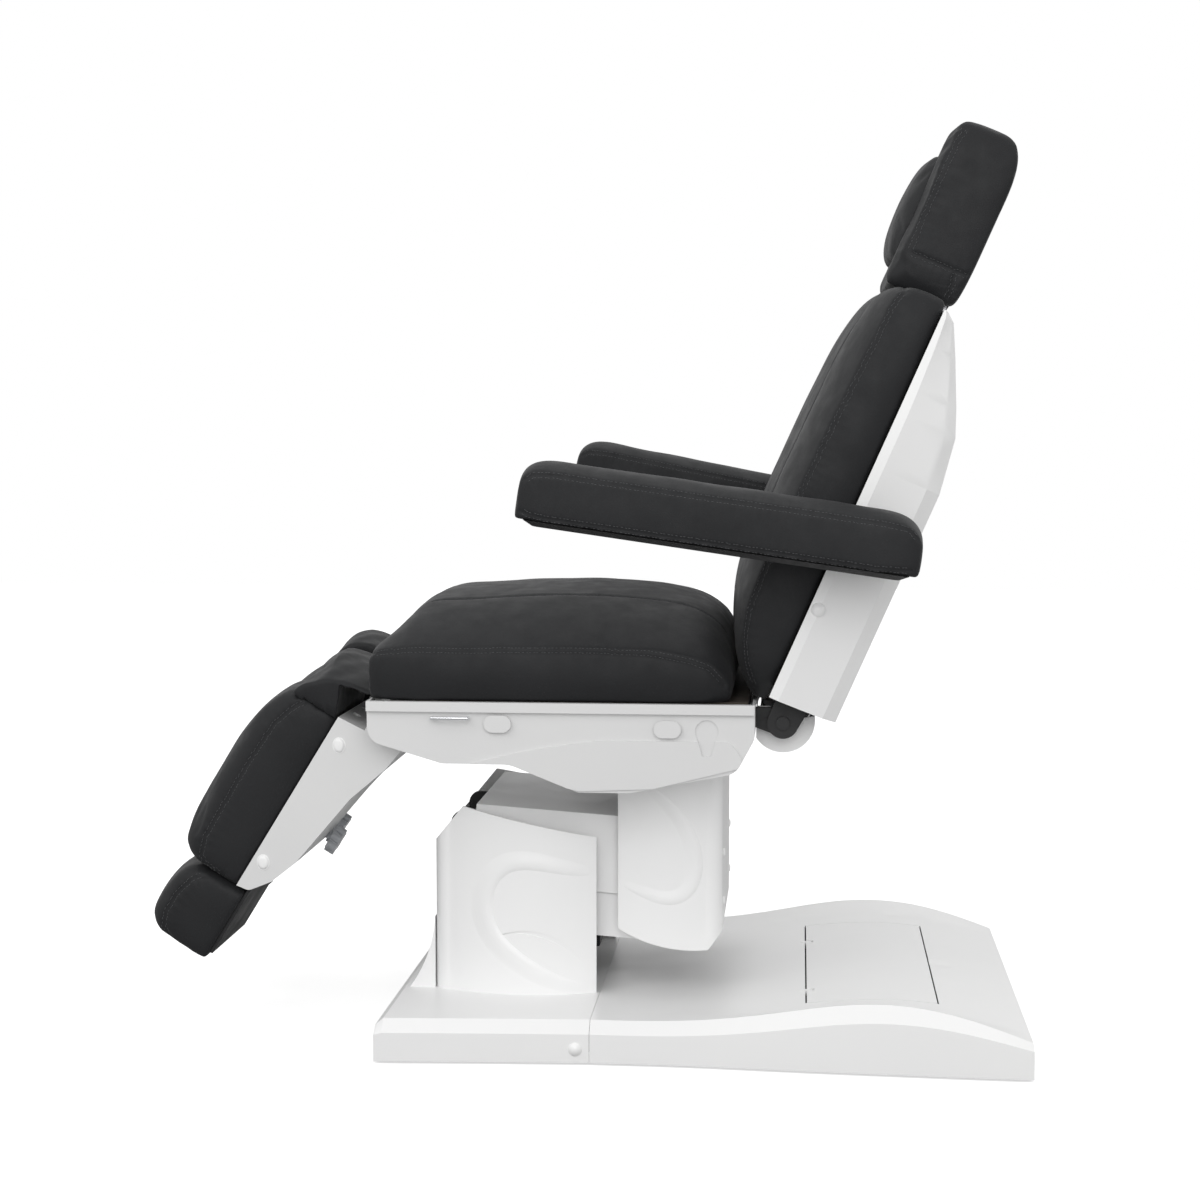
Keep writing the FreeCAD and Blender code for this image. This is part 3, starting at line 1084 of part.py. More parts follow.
def seat_pieces():
    """Shell, trim, frame, board, cushion and the leg shaft."""
    rim_low = SHELL_TOP - RIM_HEIGHT
    body = seat_body(0)
    band = block(SEAT_FRONT_X, SEAT_REAR_X, -SHELL_RIM_HALF, SHELL_RIM_HALF, rim_low, SHELL_TOP)
    height = rim_low - SHELL_FLOOR_Z
    swell = across(bowed_wire, share_outline(SWELL_SHARES, SEAT_FRONT_X, SEAT_REAR_X - SEAT_FRONT_X,
                                             SHELL_FLOOR_Z, height), -SHELL_HALF - SWELL,
                                             SHELL_HALF + SWELL)
    swell = swell.common(across(rounded_wire, seat_outline(0), -SHELL_HALF - SWELL, SHELL_HALF + SWELL))
    shell = body.fuse(band).fuse(swell).cut(hollow_tool())
    hole = block(CARRIAGE_TOP_X0 - FLOOR_HOLE_MARGIN, CARRIAGE_TOP_X1 + FLOOR_HOLE_MARGIN,
                 -CARRIAGE_TOP_HALF - FLOOR_HOLE_MARGIN, CARRIAGE_TOP_HALF + FLOOR_HOLE_MARGIN,
                 SHELL_FLOOR_Z - OVERRUN, SHELL_TOP)
    rear_gate = block(SEAT_REAR_X - SHELL_ROUND * 2, SEAT_REAR_X + OVERRUN, -HINGE_EAR_Y - PLATE * 2,
                      HINGE_EAR_Y + PLATE * 2, SHELL_REAR_Z + SHELL_ROUND, SHELL_TOP + OVERRUN)
    tear = Part.makeCylinder(TEAR_TOP_R, SHELL_HALF * 4,
                             FreeCAD.Vector(TEAR_X, -SHELL_HALF * 2, TEAR_TOP_Z - TEAR_TOP_R),
                             AXIS_Y)
    tail = across(bowed_wire, sharp(((TEAR_X - TEAR_LOW_R, TEAR_LOW_Z), (TEAR_X + TEAR_LOW_R, TEAR_LOW_Z),
                                     (TEAR_X + TEAR_TOP_R, TEAR_TOP_Z - TEAR_TOP_R),
                                     (TEAR_X - TEAR_TOP_R, TEAR_TOP_Z - TEAR_TOP_R))),
                  -SHELL_HALF * 2, SHELL_HALF * 2)
    core = block(SEAT_FRONT_X, SEAT_REAR_X, -SHELL_HALF + TEAR_DEPTH, SHELL_HALF - TEAR_DEPTH, 0,
                 SHELL_TOP)
    shell = shell.cut(hole).cut(rear_gate).cut(tear.fuse(tail).cut(core))
    nodes["seat_shell"] = max(one_or_more(shell), key=lambda solid: solid.Volume)

    cap_list = []
    for x, z in zip(OVAL_CAP_X, OVAL_CAP_Z):
        cap = Part.makeCylinder(OVAL_CAP_HALF_Z, OVAL_CAP_RISE,
                                FreeCAD.Vector(x, -SHELL_HALF - OVAL_CAP_RISE - SWELL, z),
                                AXIS_Y)
        slide = OVAL_CAP_HALF_X - OVAL_CAP_HALF_Z
        wide = cap.fuse(block(x - slide, x + slide, -SHELL_HALF - OVAL_CAP_RISE - SWELL,
                              -SHELL_HALF - SWELL,
                              z - OVAL_CAP_HALF_Z, z + OVAL_CAP_HALF_Z))
        for shift in (-slide, slide):
            end = cap.copy()
            end.translate(FreeCAD.Vector(shift, 0, 0))
            wide = wide.fuse(end)
        stem = Part.makeCylinder(OVAL_CAP_HALF_Z / 2, SWELL, FreeCAD.Vector(x, -SHELL_HALF - SWELL, z),
                                 AXIS_Y)
        cap_list.append(one(wide.fuse(stem).cut(nodes["seat_shell"])))
    nodes["shell_caps"] = Part.makeCompound(cap_list + [mirrored(cap) for cap in cap_list])

    out = -SHELL_HALF - LOOP_REACH
    loop = Part.makeCylinder(LOOP_WIRE, LOOP_HALF * 2, FreeCAD.Vector(LOOP_X - LOOP_HALF, out, LOOP_Z),
                             AXIS_X)
    for side in (-1, 1):
        x = LOOP_X + side * LOOP_HALF
        leg = Part.makeCylinder(LOOP_WIRE, LOOP_REACH, FreeCAD.Vector(x, out, LOOP_Z), AXIS_Y)
        loop = loop.fuse(leg).fuse(Part.makeSphere(LOOP_WIRE, FreeCAD.Vector(x, out, LOOP_Z)))
    nodes["strap_loops"] = both(one(loop))

    frame_high = SHELL_TOP - BOARD
    frame_low = frame_high - PLATE
    frame = block(FRAME_FRONT_X, FRAME_REAR_X, -FRAME_HALF, FRAME_HALF, frame_low, frame_high)
    for y0, y1 in ((-LEG_INNER + SIDE_PLAY * 2, LEG_INNER - SIDE_PLAY * 2), (LEG_OUTER + SIDE_PLAY * 2,
                                                                         LEG_OUTER + SIDE_PLAY * 2 + LEG_LUG),
                   (-LEG_OUTER - SIDE_PLAY * 2 - LEG_LUG, -LEG_OUTER - SIDE_PLAY * 2)):
        lug = bar(LEG_PIVOT_X, LEG_PIVOT_Z, LEG_HUB_R, y0, y1)
        arm = across(bowed_wire, sharp(((LEG_PIVOT_X, LEG_PIVOT_Z - LEG_HUB_R),
                                        (FRAME_FRONT_X + LEG_HUB_R * 2, frame_low),
                                        (FRAME_FRONT_X + LEG_HUB_R * 2, frame_high),
                                        (LEG_PIVOT_X, LEG_PIVOT_Z + LEG_HUB_R))), y0, y1)
        frame = frame.fuse(lug).fuse(arm)
    for side in (-1, 1):
        y0 = min(side * HINGE_EAR_Y, side * (HINGE_EAR_Y + PLATE))
        ear = bar(HINGE_X, HINGE_Z, HINGE_HUB_R, y0, y0 + PLATE)
        stalk = across(bowed_wire, sharp(((HINGE_X, HINGE_Z - HINGE_HUB_R), (HINGE_X, frame_high),
                                          (FRAME_REAR_X - HINGE_HUB_R, frame_high),
                                          (FRAME_REAR_X - HINGE_HUB_R * 2, frame_low))), y0, y0 + PLATE)
        frame = frame.fuse(ear).fuse(stalk)
    frame = frame.cut(bar(LEG_PIVOT_X, LEG_PIVOT_Z, LEG_SHAFT_R + RUN_FIT, -FRAME_HALF, FRAME_HALF))
    frame = frame.cut(bar(HINGE_X, HINGE_Z, HINGE_PIN_R + RUN_FIT, -FRAME_HALF, FRAME_HALF))
    nodes["seat_frame"] = one(frame)
    nodes["seat_board"] = block(FRAME_FRONT_X, FRAME_REAR_X, -FRAME_HALF, FRAME_HALF, frame_high,
                                SHELL_TOP)
    shaft_half = LEG_OUTER + SIDE_PLAY * 2 + LEG_LUG
    nodes["leg_pivot_shaft"] = bar(LEG_PIVOT_X, LEG_PIVOT_Z, LEG_SHAFT_R, -shaft_half, shaft_half)

    sections = []
    low = SHELL_TOP + SOFT_GAP
    bows = (SEAT_SIDE_BOW, SEAT_BOLSTER_BOW, SEAT_CENTRE_BOW, SEAT_CHANNEL_DIP)
    length = SEAT_CUSHION_REAR_X - SEAT_FRONT_X
    for x, half, seam, crown in stretched(SEAT_FRONT_X, length, SEAT_STATION_SHARES):
        half_width = half * SEAT_CUSHION_HALF
        sections.append(padded_section(end_place(x), low, half_width, seam * SEAT_SEAM,
                                       crown * SEAT_CROWN,
                                       half_width * SEAT_CHANNEL_Y_SHARE, bows))
    nodes["seat_cushion"] = lofted(sections, False)


def one_or_more(shape):
    """Solids of a boolean result with its seams cleaned."""
    return shape.removeSplitter().Solids


# Backrest hinge


def lever_spot():
    """Lever pin place from the hinge at rest."""
    lead = math.radians(LEVER_LEAD)
    return LEVER_RADIUS * math.sin(lead), -LEVER_RADIUS * math.cos(lead)


def hinge_pieces():
    """Hinge pins, rear hinge cover and the back actuator with its rod."""
    pins = []
    for side in (-1, 1):
        ends = (side * (HINGE_EAR_Y - PLATE), side * (BACK_ARM_Y + PLATE + PIN_HEAD))
        head = (side * (BACK_ARM_Y + PLATE), side * (BACK_ARM_Y + PLATE + PIN_HEAD))
        pin = bar(HINGE_X, HINGE_Z, HINGE_PIN_R, min(ends), max(ends))
        pins.append(one(pin.fuse(bar(HINGE_X, HINGE_Z, HINGE_PIN_R + HINGE_PIN_HEAD, min(head),
                                     max(head)))))
    nodes["back_hinge_pins"] = Part.makeCompound(pins)

    half = HINGE_COVER_HALF
    drum = bar(HINGE_X, HINGE_Z, HINGE_COVER_R, -half, half)
    drum_low = HINGE_Z - HINGE_COVER_R
    shoulder = across(bowed_wire, sharp(((SEAT_REAR_X, drum_low + HINGE_SHOULDER_RISE),
                                         (HINGE_FRONT_X, drum_low + HINGE_SHOULDER_FOOT),
                                         (HINGE_FRONT_X,
                                          HINGE_COVER_TOP), (SEAT_REAR_X, HINGE_COVER_TOP))), -half, half)
    outer = drum.fuse(shoulder)
    hollow = bar(HINGE_X, HINGE_Z, HINGE_COVER_R - COVER_WALL, -half + COVER_WALL, half - COVER_WALL)
    inside = block(SEAT_REAR_X - OVERRUN, HINGE_FRONT_X, -half + COVER_WALL, half - COVER_WALL,
                   drum_low + HINGE_SHOULDER_RISE + COVER_WALL, HINGE_COVER_TOP - COVER_WALL)
    lip = math.radians(HINGE_LIP_ANGLE)
    reach = HINGE_COVER_R * 2
    lid = across(bowed_wire, sharp(((HINGE_FRONT_X, HINGE_COVER_TOP + OVERRUN), (HINGE_FRONT_X, HINGE_Z),
                                    (HINGE_X, HINGE_Z), (HINGE_X + reach * math.cos(lip),
                                                         HINGE_Z + reach * math.sin(lip)),
                                    (HINGE_X + reach,
                                     HINGE_COVER_TOP + OVERRUN))), -half - OVERRUN, half + OVERRUN)
    lid = lid.fuse(block(HINGE_FRONT_X, HINGE_X + reach, -half - OVERRUN, half + OVERRUN, HINGE_Z,
                         HINGE_Z + reach))
    lid = lid.cut(across(bowed_wire, sharp(((HINGE_X, HINGE_Z), (HINGE_X + reach, HINGE_Z),
                                            (HINGE_X + reach * math.cos(lip),
                                             HINGE_Z + reach * math.sin(lip)))),
                         -half - OVERRUN * 2, half + OVERRUN * 2))
    pin_room = bar(HINGE_X, HINGE_Z, HINGE_PIN_R + SIDE_PLAY, -half - OVERRUN, half + OVERRUN)
    above = block(SEAT_REAR_X - HINGE_COVER_R, HINGE_X + reach, -half - OVERRUN, half + OVERRUN,
                  HINGE_COVER_TOP,
                  HINGE_Z + reach)
    slot = block(HINGE_FRONT_X, HINGE_X + reach, -LEVER_SLOT_HALF, LEVER_SLOT_HALF, HINGE_Z - reach,
                 HINGE_Z + reach)
    before = block(SEAT_REAR_X - HINGE_COVER_R, SEAT_REAR_X + SOFT_GAP, -half - OVERRUN, half + OVERRUN,
                   HINGE_Z - reach,
                   HINGE_Z + reach)
    rod_room = block(SEAT_REAR_X, HINGE_FRONT_X, -LEVER_SLOT_HALF, LEVER_SLOT_HALF, HINGE_Z - reach, HINGE_Z)
    lid = lid.fuse(above).fuse(slot).fuse(rod_room).fuse(before)
    nodes["rear_hinge_cover"] = max(one_or_more(outer.cut(hollow).cut(inside).cut(lid).cut(pin_room)),
                                    key=lambda solid: solid.Volume)

    pin_x, pin_z = lever_spot()
    swing = LEVER_RADIUS * (1 - math.cos(math.radians(LEVER_LEAD)))
    rod_z = HINGE_Z + pin_z - swing / 2
    rod_end = BACK_DRIVE_X1 - LEVER_RADIUS * 3
    nodes["back_actuator_rod"] = yoke(HINGE_X + pin_x, rod_z, swing, LEVER_PIN_R, LEVER_HALF, LEVER_HALF,
                                      BACK_ROD_R, rod_end)
    length = BACK_DRIVE_X1 - BACK_DRIVE_X0
    tube = Part.makeCylinder(BACK_DRIVE_R, length, FreeCAD.Vector(BACK_DRIVE_X0, 0, rod_z), AXIS_X)
    frame_low = SHELL_TOP - BOARD - PLATE
    lug = block(BACK_DRIVE_X0, BACK_DRIVE_X0 + BACK_DRIVE_LUG * 2, -BACK_DRIVE_LUG, BACK_DRIVE_LUG, rod_z,
                frame_low)
    motor_x = BACK_DRIVE_X0 + BACK_DRIVE_R * 2
    motor = Part.makeCylinder(BACK_MOTOR_R, BACK_MOTOR_LENGTH, FreeCAD.Vector(motor_x, 0, rod_z), AXIS_Y)
    bore = Part.makeCylinder(BACK_ROD_R + RUN_FIT, length,
                             FreeCAD.Vector(BACK_DRIVE_X0 + length / 2, 0, rod_z), AXIS_X)
    nodes["back_actuator"] = one(tube.fuse(lug).fuse(motor).cut(bore))


# Backrest


def back_placed(shape):
    """From the backrest's own frame to the chair."""
    return swung(shape, -BACK_ANGLE, BACK_X, BACK_Z)


def hinge_in_back():
    """Hinge axis in the backrest's own frame."""
    turn = math.radians(BACK_ANGLE)
    dx = HINGE_X - BACK_X
    dz = HINGE_Z - BACK_Z
    return dx * math.cos(turn) + dz * math.sin(turn), -dx * math.sin(turn) + dz * math.cos(turn)


def back_shell_loft(inset):
    """Faceted tub of the backrest; the inset gives the inside."""
    wires = []
    for place_share, side, rear, rear_half in BACK_SHELL_SHARES:
        u = -BACK_SKIRT if place_share is None else place_share * BACK_LENGTH
        if inset:
            u = u - OVERRUN if place_share is None else u * (1 - inset / BACK_LENGTH)
        half = BACK_HALF - inset
        top = OVERRUN if inset else 0
        rear_n = -BACK_DEPTH * rear + inset
        side_n = max(-BACK_SIDE_DEPTH * side, -BACK_DEPTH * rear * BACK_BAND_SHARE)
        panel_n = rear_n + BACK_CHAMFER * rear
        panel_y = BACK_PANEL_HALF + (BACK_HALF - BACK_PANEL_HALF) * (1 - rear) / 2 - inset
        rear_y = BACK_REAR_HALF * rear_half - inset
        right = ((rear_y, rear_n), (panel_y, panel_n), (half, side_n), (half, top))
        left = [(-a, b) for a, b in reversed(right)]
        wires.append(bowed_wire(sharp(left + list(right)), end_place(u)))
    return lofted(wires, True)


def back_pieces():
    """Frame, board, shell, caps, cushion and the armrest shafts."""
    hinge_u, hinge_n = hinge_in_back()
    board_low = -BOARD
    shell = back_shell_loft(0).cut(back_shell_loft(COVER_WALL))
    shaft_room = bar(ARM_PIVOT_U, ARM_PIVOT_N, ARM_SHAFT_R + SOFT_GAP, -BACK_HALF * 2, BACK_HALF * 2)
    slot_half = HEAD_BAR_HALF + SIDE_PLAY
    for side in (-1, 1):
        middle = side * HEAD_BAR_Y
        shell = shell.cut(block(BACK_LENGTH * BACK_SLOT_SHARE, BACK_LENGTH + OVERRUN, middle - slot_half,
                                middle + slot_half,
                                HEAD_BAR_N - SIDE_PLAY, OVERRUN))
    cap = dome(CAP_RADIUS, CAP_RISE)
    cap.rotate(ORIGIN, AXIS_X, QUARTER_TURN)
    cap.translate(FreeCAD.Vector(DOME_U, -BACK_HALF, -DOME_N))
    shell = shell.cut(shaft_room).fuse(cap).fuse(mirrored(cap))
    nodes["backrest_shell"] = max(one_or_more(shell), key=lambda solid: solid.Volume)

    arm_out = BACK_ARM_Y + PLATE
    arm_in = BACK_ARM_Y
    arm_outline = sharp(((0, -BACK_ARM_DEPTH), (BACK_ARM_TOP, -BACK_ARM_DEPTH + BOARD),
                         (BACK_ARM_TOP, board_low),
                         (0, board_low)))
    neck = sharp(((hinge_u, hinge_n - HINGE_HUB_R), (0, -BACK_ARM_DEPTH), (0, board_low),
                  (hinge_u, hinge_n + HINGE_HUB_R)))
    frame = None
    for y0, y1 in ((arm_in, arm_out), (-arm_out, -arm_in)):
        piece = across(bowed_wire, arm_outline, y0, y1).fuse(across(bowed_wire, neck, y0, y1))
        piece = piece.fuse(bar(hinge_u, hinge_n, HINGE_HUB_R, y0, y1))
        frame = piece if frame is None else frame.fuse(piece)
    pin_x, pin_z = lever_spot()
    turn = math.radians(BACK_ANGLE)
    pin_u = hinge_u + pin_x * math.cos(turn) + pin_z * math.sin(turn)
    pin_n = hinge_n - pin_x * math.sin(turn) + pin_z * math.cos(turn)
    lever = across(bowed_wire, sharp(((pin_u, pin_n - LEVER_HUB_R), (BACK_RIB_LOW, pin_n - LEVER_HUB_R),
                                      (BACK_RIB_LOW + BACK_RIB_WIDTH, board_low), (BACK_RIB_LOW,
                                                                                   board_low),
                                      (0,
                                       pin_n + LEVER_HUB_R), (pin_u,
                                                              pin_n + LEVER_HUB_R))), -LEVER_HALF,
                                                              LEVER_HALF)
    frame = frame.fuse(lever)
    for low in (BACK_RIB_LOW, BACK_RIB_HIGH):
        frame = frame.fuse(block(low, low + BACK_RIB_WIDTH, -arm_out, arm_out, board_low - PLATE,
                                 board_low))
    frame = frame.cut(bar(hinge_u, hinge_n, HINGE_PIN_R + RUN_FIT, -arm_out - OVERRUN, arm_out + OVERRUN))
    frame = frame.cut(bar(ARM_PIVOT_U, ARM_PIVOT_N, ARM_SHAFT_R, -arm_out - OVERRUN, -arm_in + OVERRUN))
    frame = frame.cut(bar(ARM_PIVOT_U, ARM_PIVOT_N, ARM_SHAFT_R, arm_in - OVERRUN, arm_out + OVERRUN))
    frame = back_placed(one(frame))
    lever_pin = bar(HINGE_X + pin_x, HINGE_Z + pin_z, LEVER_PIN_R, -LEVER_HALF * 2 - SIDE_PLAY,
                    LEVER_HALF * 2 + SIDE_PLAY)
    lever_eye = bar(HINGE_X + pin_x, HINGE_Z + pin_z, LEVER_HUB_R, -LEVER_HALF, LEVER_HALF)
    nodes["backrest_frame"] = one(frame.fuse(lever_eye).fuse(lever_pin))

    board = block(0, BACK_LENGTH * BACK_BOARD_SHARE, -BACK_HALF + BOARD, BACK_HALF - BOARD, board_low, 0)
    guide_half = HEAD_BAR_HALF + SLIDE_FIT + HEAD_GUIDE_WALL
    for side in (-1, 1):
        middle = side * HEAD_BAR_Y
        board = board.cut(block(HEAD_GUIDE_LOW, BACK_LENGTH + OVERRUN, middle - guide_half,
                                middle + guide_half,
                                board_low - OVERRUN, OVERRUN))
    nodes["backrest_board"] = back_placed(one(board.common(back_shell_loft(COVER_WALL + SEAM_GAP))))
    nodes["backrest_shell"] = back_placed(nodes["backrest_shell"])

    sections = []
    bows = (BACK_SIDE_BOW, BACK_BOLSTER_BOW, BACK_CENTRE_BOW, BACK_CHANNEL_DIP)
    for u, half, seam, crown in stretched(BACK_PAD_START, BACK_PAD_LENGTH, BACK_STATION_SHARES):
        half_width = half * BACK_HALF
        sections.append(padded_section(end_place(u), SOFT_GAP, half_width, seam * BACK_SEAM,
                                       crown * BACK_CROWN,
                                       half_width * BACK_CHANNEL_Y_SHARE, bows))
    eye_room = HEAD_EYE_R + SIDE_PLAY * 2
    room_half = HEAD_BAR_Y + HEAD_BAR_HALF + SIDE_PLAY * 2 + HEAD_KNUCKLE
    room = block(HEAD_PIVOT_U - eye_room, BACK_LENGTH * 2, -room_half, room_half, -OVERRUN,
                 HEAD_PIVOT_N + eye_room)
    nodes["backrest_cushion"] = back_placed(one(lofted(sections, False).cut(room)))

    shaft = bar(ARM_PIVOT_U, ARM_PIVOT_N, ARM_SHAFT_R, arm_in, ARM_SHAFT_END)
    nodes["armrest_shafts"] = back_placed(both(shaft))


# Headrest


def head_pieces():
    """Guides on the back, sliding bars, tilting frame, cushion and pillow."""
    bar_low = HEAD_BAR_N
    bar_high = HEAD_BAR_N + HEAD_BAR
    guides = []
    bars = None
    for side in (-1, 1):
        y0 = side * HEAD_BAR_Y - HEAD_BAR_HALF
        y1 = side * HEAD_BAR_Y + HEAD_BAR_HALF
        sleeve = block(HEAD_GUIDE_LOW, HEAD_GUIDE_HIGH, y0 - SLIDE_FIT - HEAD_GUIDE_WALL,
                       y1 + SLIDE_FIT + HEAD_GUIDE_WALL,
                       bar_low - SLIDE_FIT - HEAD_GUIDE_WALL, 0)
        room = block(HEAD_GUIDE_LOW - OVERRUN, HEAD_GUIDE_HIGH + OVERRUN, y0 - SLIDE_FIT, y1 + SLIDE_FIT,
                     bar_low - SLIDE_FIT, bar_high + SLIDE_FIT)
        guides.append(sleeve.cut(room))
        flat = block(HEAD_BAR_LOW, HEAD_PIVOT_U, y0, y1, bar_low, bar_high)
        eye = bar(HEAD_PIVOT_U, HEAD_PIVOT_N, HEAD_EYE_R, y0, y1)
        piece = flat.fuse(eye)
        bars = piece if bars is None else bars.fuse(piece)
    pin_half = HEAD_BAR_Y + HEAD_BAR_HALF + SIDE_PLAY + HEAD_KNUCKLE
    bars = bars.fuse(bar(HEAD_PIVOT_U, HEAD_PIVOT_N, HEAD_PIN_R, -pin_half, pin_half))
    nodes["headrest_guides"] = back_placed(Part.makeCompound(guides))
    nodes["headrest_bars"] = back_placed(one(bars))

    frame = block(HEAD_POCKET_U - HEAD_EYE_R, HEAD_FRAME_HIGH, -HEAD_FRAME_HALF, HEAD_FRAME_HALF,
                  HEAD_PIVOT_N - HEAD_BAR / 2,
                  HEAD_PIVOT_N + HEAD_BAR / 2)
    for side in (-1, 1):
        ends = (side * (HEAD_BAR_Y + HEAD_BAR_HALF + SIDE_PLAY), side * pin_half)
        knuckle = bar(HEAD_PIVOT_U, HEAD_PIVOT_N, HEAD_EYE_R, min(ends), max(ends))
        strap = block(HEAD_PIVOT_U, HEAD_POCKET_U, min(ends), max(ends), HEAD_PIVOT_N - HEAD_BAR / 2,
                      HEAD_PIVOT_N + HEAD_BAR / 2)
        frame = frame.fuse(knuckle).fuse(strap)
    frame = frame.cut(bar(HEAD_PIVOT_U, HEAD_PIVOT_N, HEAD_PIN_R + RUN_FIT, -pin_half - OVERRUN,
                          pin_half + OVERRUN))
    frame = one(frame)
    nodes["headrest_frame"] = back_placed(frame)

    sections = []
    depth = HEAD_FACE_N - HEAD_BACK_N
    for u, half, rear, face in stretched(HEAD_LOW, HEAD_HIGH - HEAD_LOW, HEAD_STATION_SHARES):
        y = half * HEAD_HALF
        low = HEAD_BACK_N + rear * depth
        high = HEAD_BACK_N + face * depth
        corners = ((-y, low, HEAD_SIDE_BOW), (y, low, HEAD_SIDE_BOW), (y, high, 0),
                   (-y, high, HEAD_SIDE_BOW))
        sections.append(bowed_wire(corners, end_place(u)))
    cushion = lofted(sections, False)
    pocket = block(HEAD_LOW - OVERRUN, HEAD_POCKET_U, -pin_half - SIDE_PLAY, pin_half + SIDE_PLAY,
                   HEAD_BACK_N - OVERRUN,
                   HEAD_POCKET_N)
    slit = block(HEAD_POCKET_U - OVERRUN, HEAD_FRAME_HIGH + SOFT_GAP, -HEAD_FRAME_HALF - SOFT_GAP,
                 HEAD_FRAME_HALF + SOFT_GAP,
                 HEAD_PIVOT_N - HEAD_BAR / 2 - SOFT_GAP, HEAD_PIVOT_N + HEAD_BAR / 2 + SOFT_GAP)
    pillow_seat = block(PILLOW_LOW - OVERRUN, PILLOW_HIGH + OVERRUN, -PILLOW_HALF - OVERRUN,
                        PILLOW_HALF + OVERRUN,
                        HEAD_FACE_N, HEAD_FACE_N + PILLOW_THICK)
    cushion = cushion.cut(pocket).cut(slit).cut(pillow_seat)
    nodes["headrest_cushion"] = back_placed(max(cushion.Solids, key=lambda solid: solid.Volume))

    pillow_low = HEAD_FACE_N + SOFT_GAP
    pillow_sections = []
    for u, half, thick in stretched(PILLOW_LOW, PILLOW_HIGH - PILLOW_LOW, PILLOW_SHARES):
        y = half * PILLOW_HALF
        top_y = y * PILLOW_TOP_SHARE
        high = pillow_low + PILLOW_THICK * thick
        corners = ((-y, pillow_low, 0), (y, pillow_low, 0), (top_y, high, PILLOW_BOW * thick),
                   (-top_y, high, 0))
        pillow_sections.append(bowed_wire(corners, end_place(u)))
    nodes["headrest_pillow"] = back_placed(lofted(pillow_sections, False))


# Leg rests


def leg_spot(along, out, drop):
    """Point of the flat leg frame in the chair, with the leg lowered by an angle."""
    turn = math.radians(drop)
    x = LEG_PIVOT_X + along * math.cos(turn) - out * math.sin(turn)
    return x, LEG_PIVOT_Z + along * math.sin(turn) + out * math.cos(turn)


def leg_flap(drop):
    """Soft bridge from the end of a leg cushion over a hump down to the front of the seat."""
    end_x = SEAT_FRONT_X - SOFT_GAP
    start_low = leg_spot(-FLAP_START, FLAP_START_LOW, drop)
    start_high = leg_spot(-FLAP_START, FLAP_START_HIGH, drop)
    sections = []
    for y, top, under in ((LEG_INNER, FLAP_INNER_TOP, FLAP_INNER_UNDER),
                          ((LEG_INNER + LEG_OUTER) / 2, FLAP_MIDDLE_TOP, FLAP_MIDDLE_UNDER),
                          (LEG_OUTER, FLAP_OUTER_TOP, FLAP_OUTER_UNDER)):
        rise, fall = [leg_spot(along, out, drop) for along, out in top]
        under_rise, under_fall = [leg_spot(along, out, drop) for along, out in under]
        corners = (start_low + (-FLAP_BOW,), under_rise + (-FLAP_BOW,), under_fall + (0,),
                   (end_x, FLAP_END_LOW_Z, 0),
                   (end_x, FLAP_END_HIGH_Z, 0), fall + (FLAP_BOW,), rise + (FLAP_BOW,), start_high + (0,))
        sections.append(bowed_wire(corners, side_place(y)))
    return lofted(sections, False)


def leg_outline(inset):
    """Side outline of a leg shell, toe to knee, drawn flat."""
    lower = [(-LEG_TOE * a, LEG_TOP_N * b + inset, EDGE_ROUND * 3) for a, b in LEG_SHELL_SHARES]
    knee = LEG_KNEE_R - inset
    return ([(-LEG_HEEL - inset, LEG_TOP_N, 0), (-LEG_TOE + inset, LEG_TOP_N, 0)] + lower +
            [(0, -knee, knee * KNEE_LOW_SHARE), (knee, -knee, knee * KNEE_ROUND_SHARE),
             (knee, knee, knee * KNEE_ROUND_SHARE), (-LEG_HEEL + EDGE_ROUND - inset, knee, 0)])


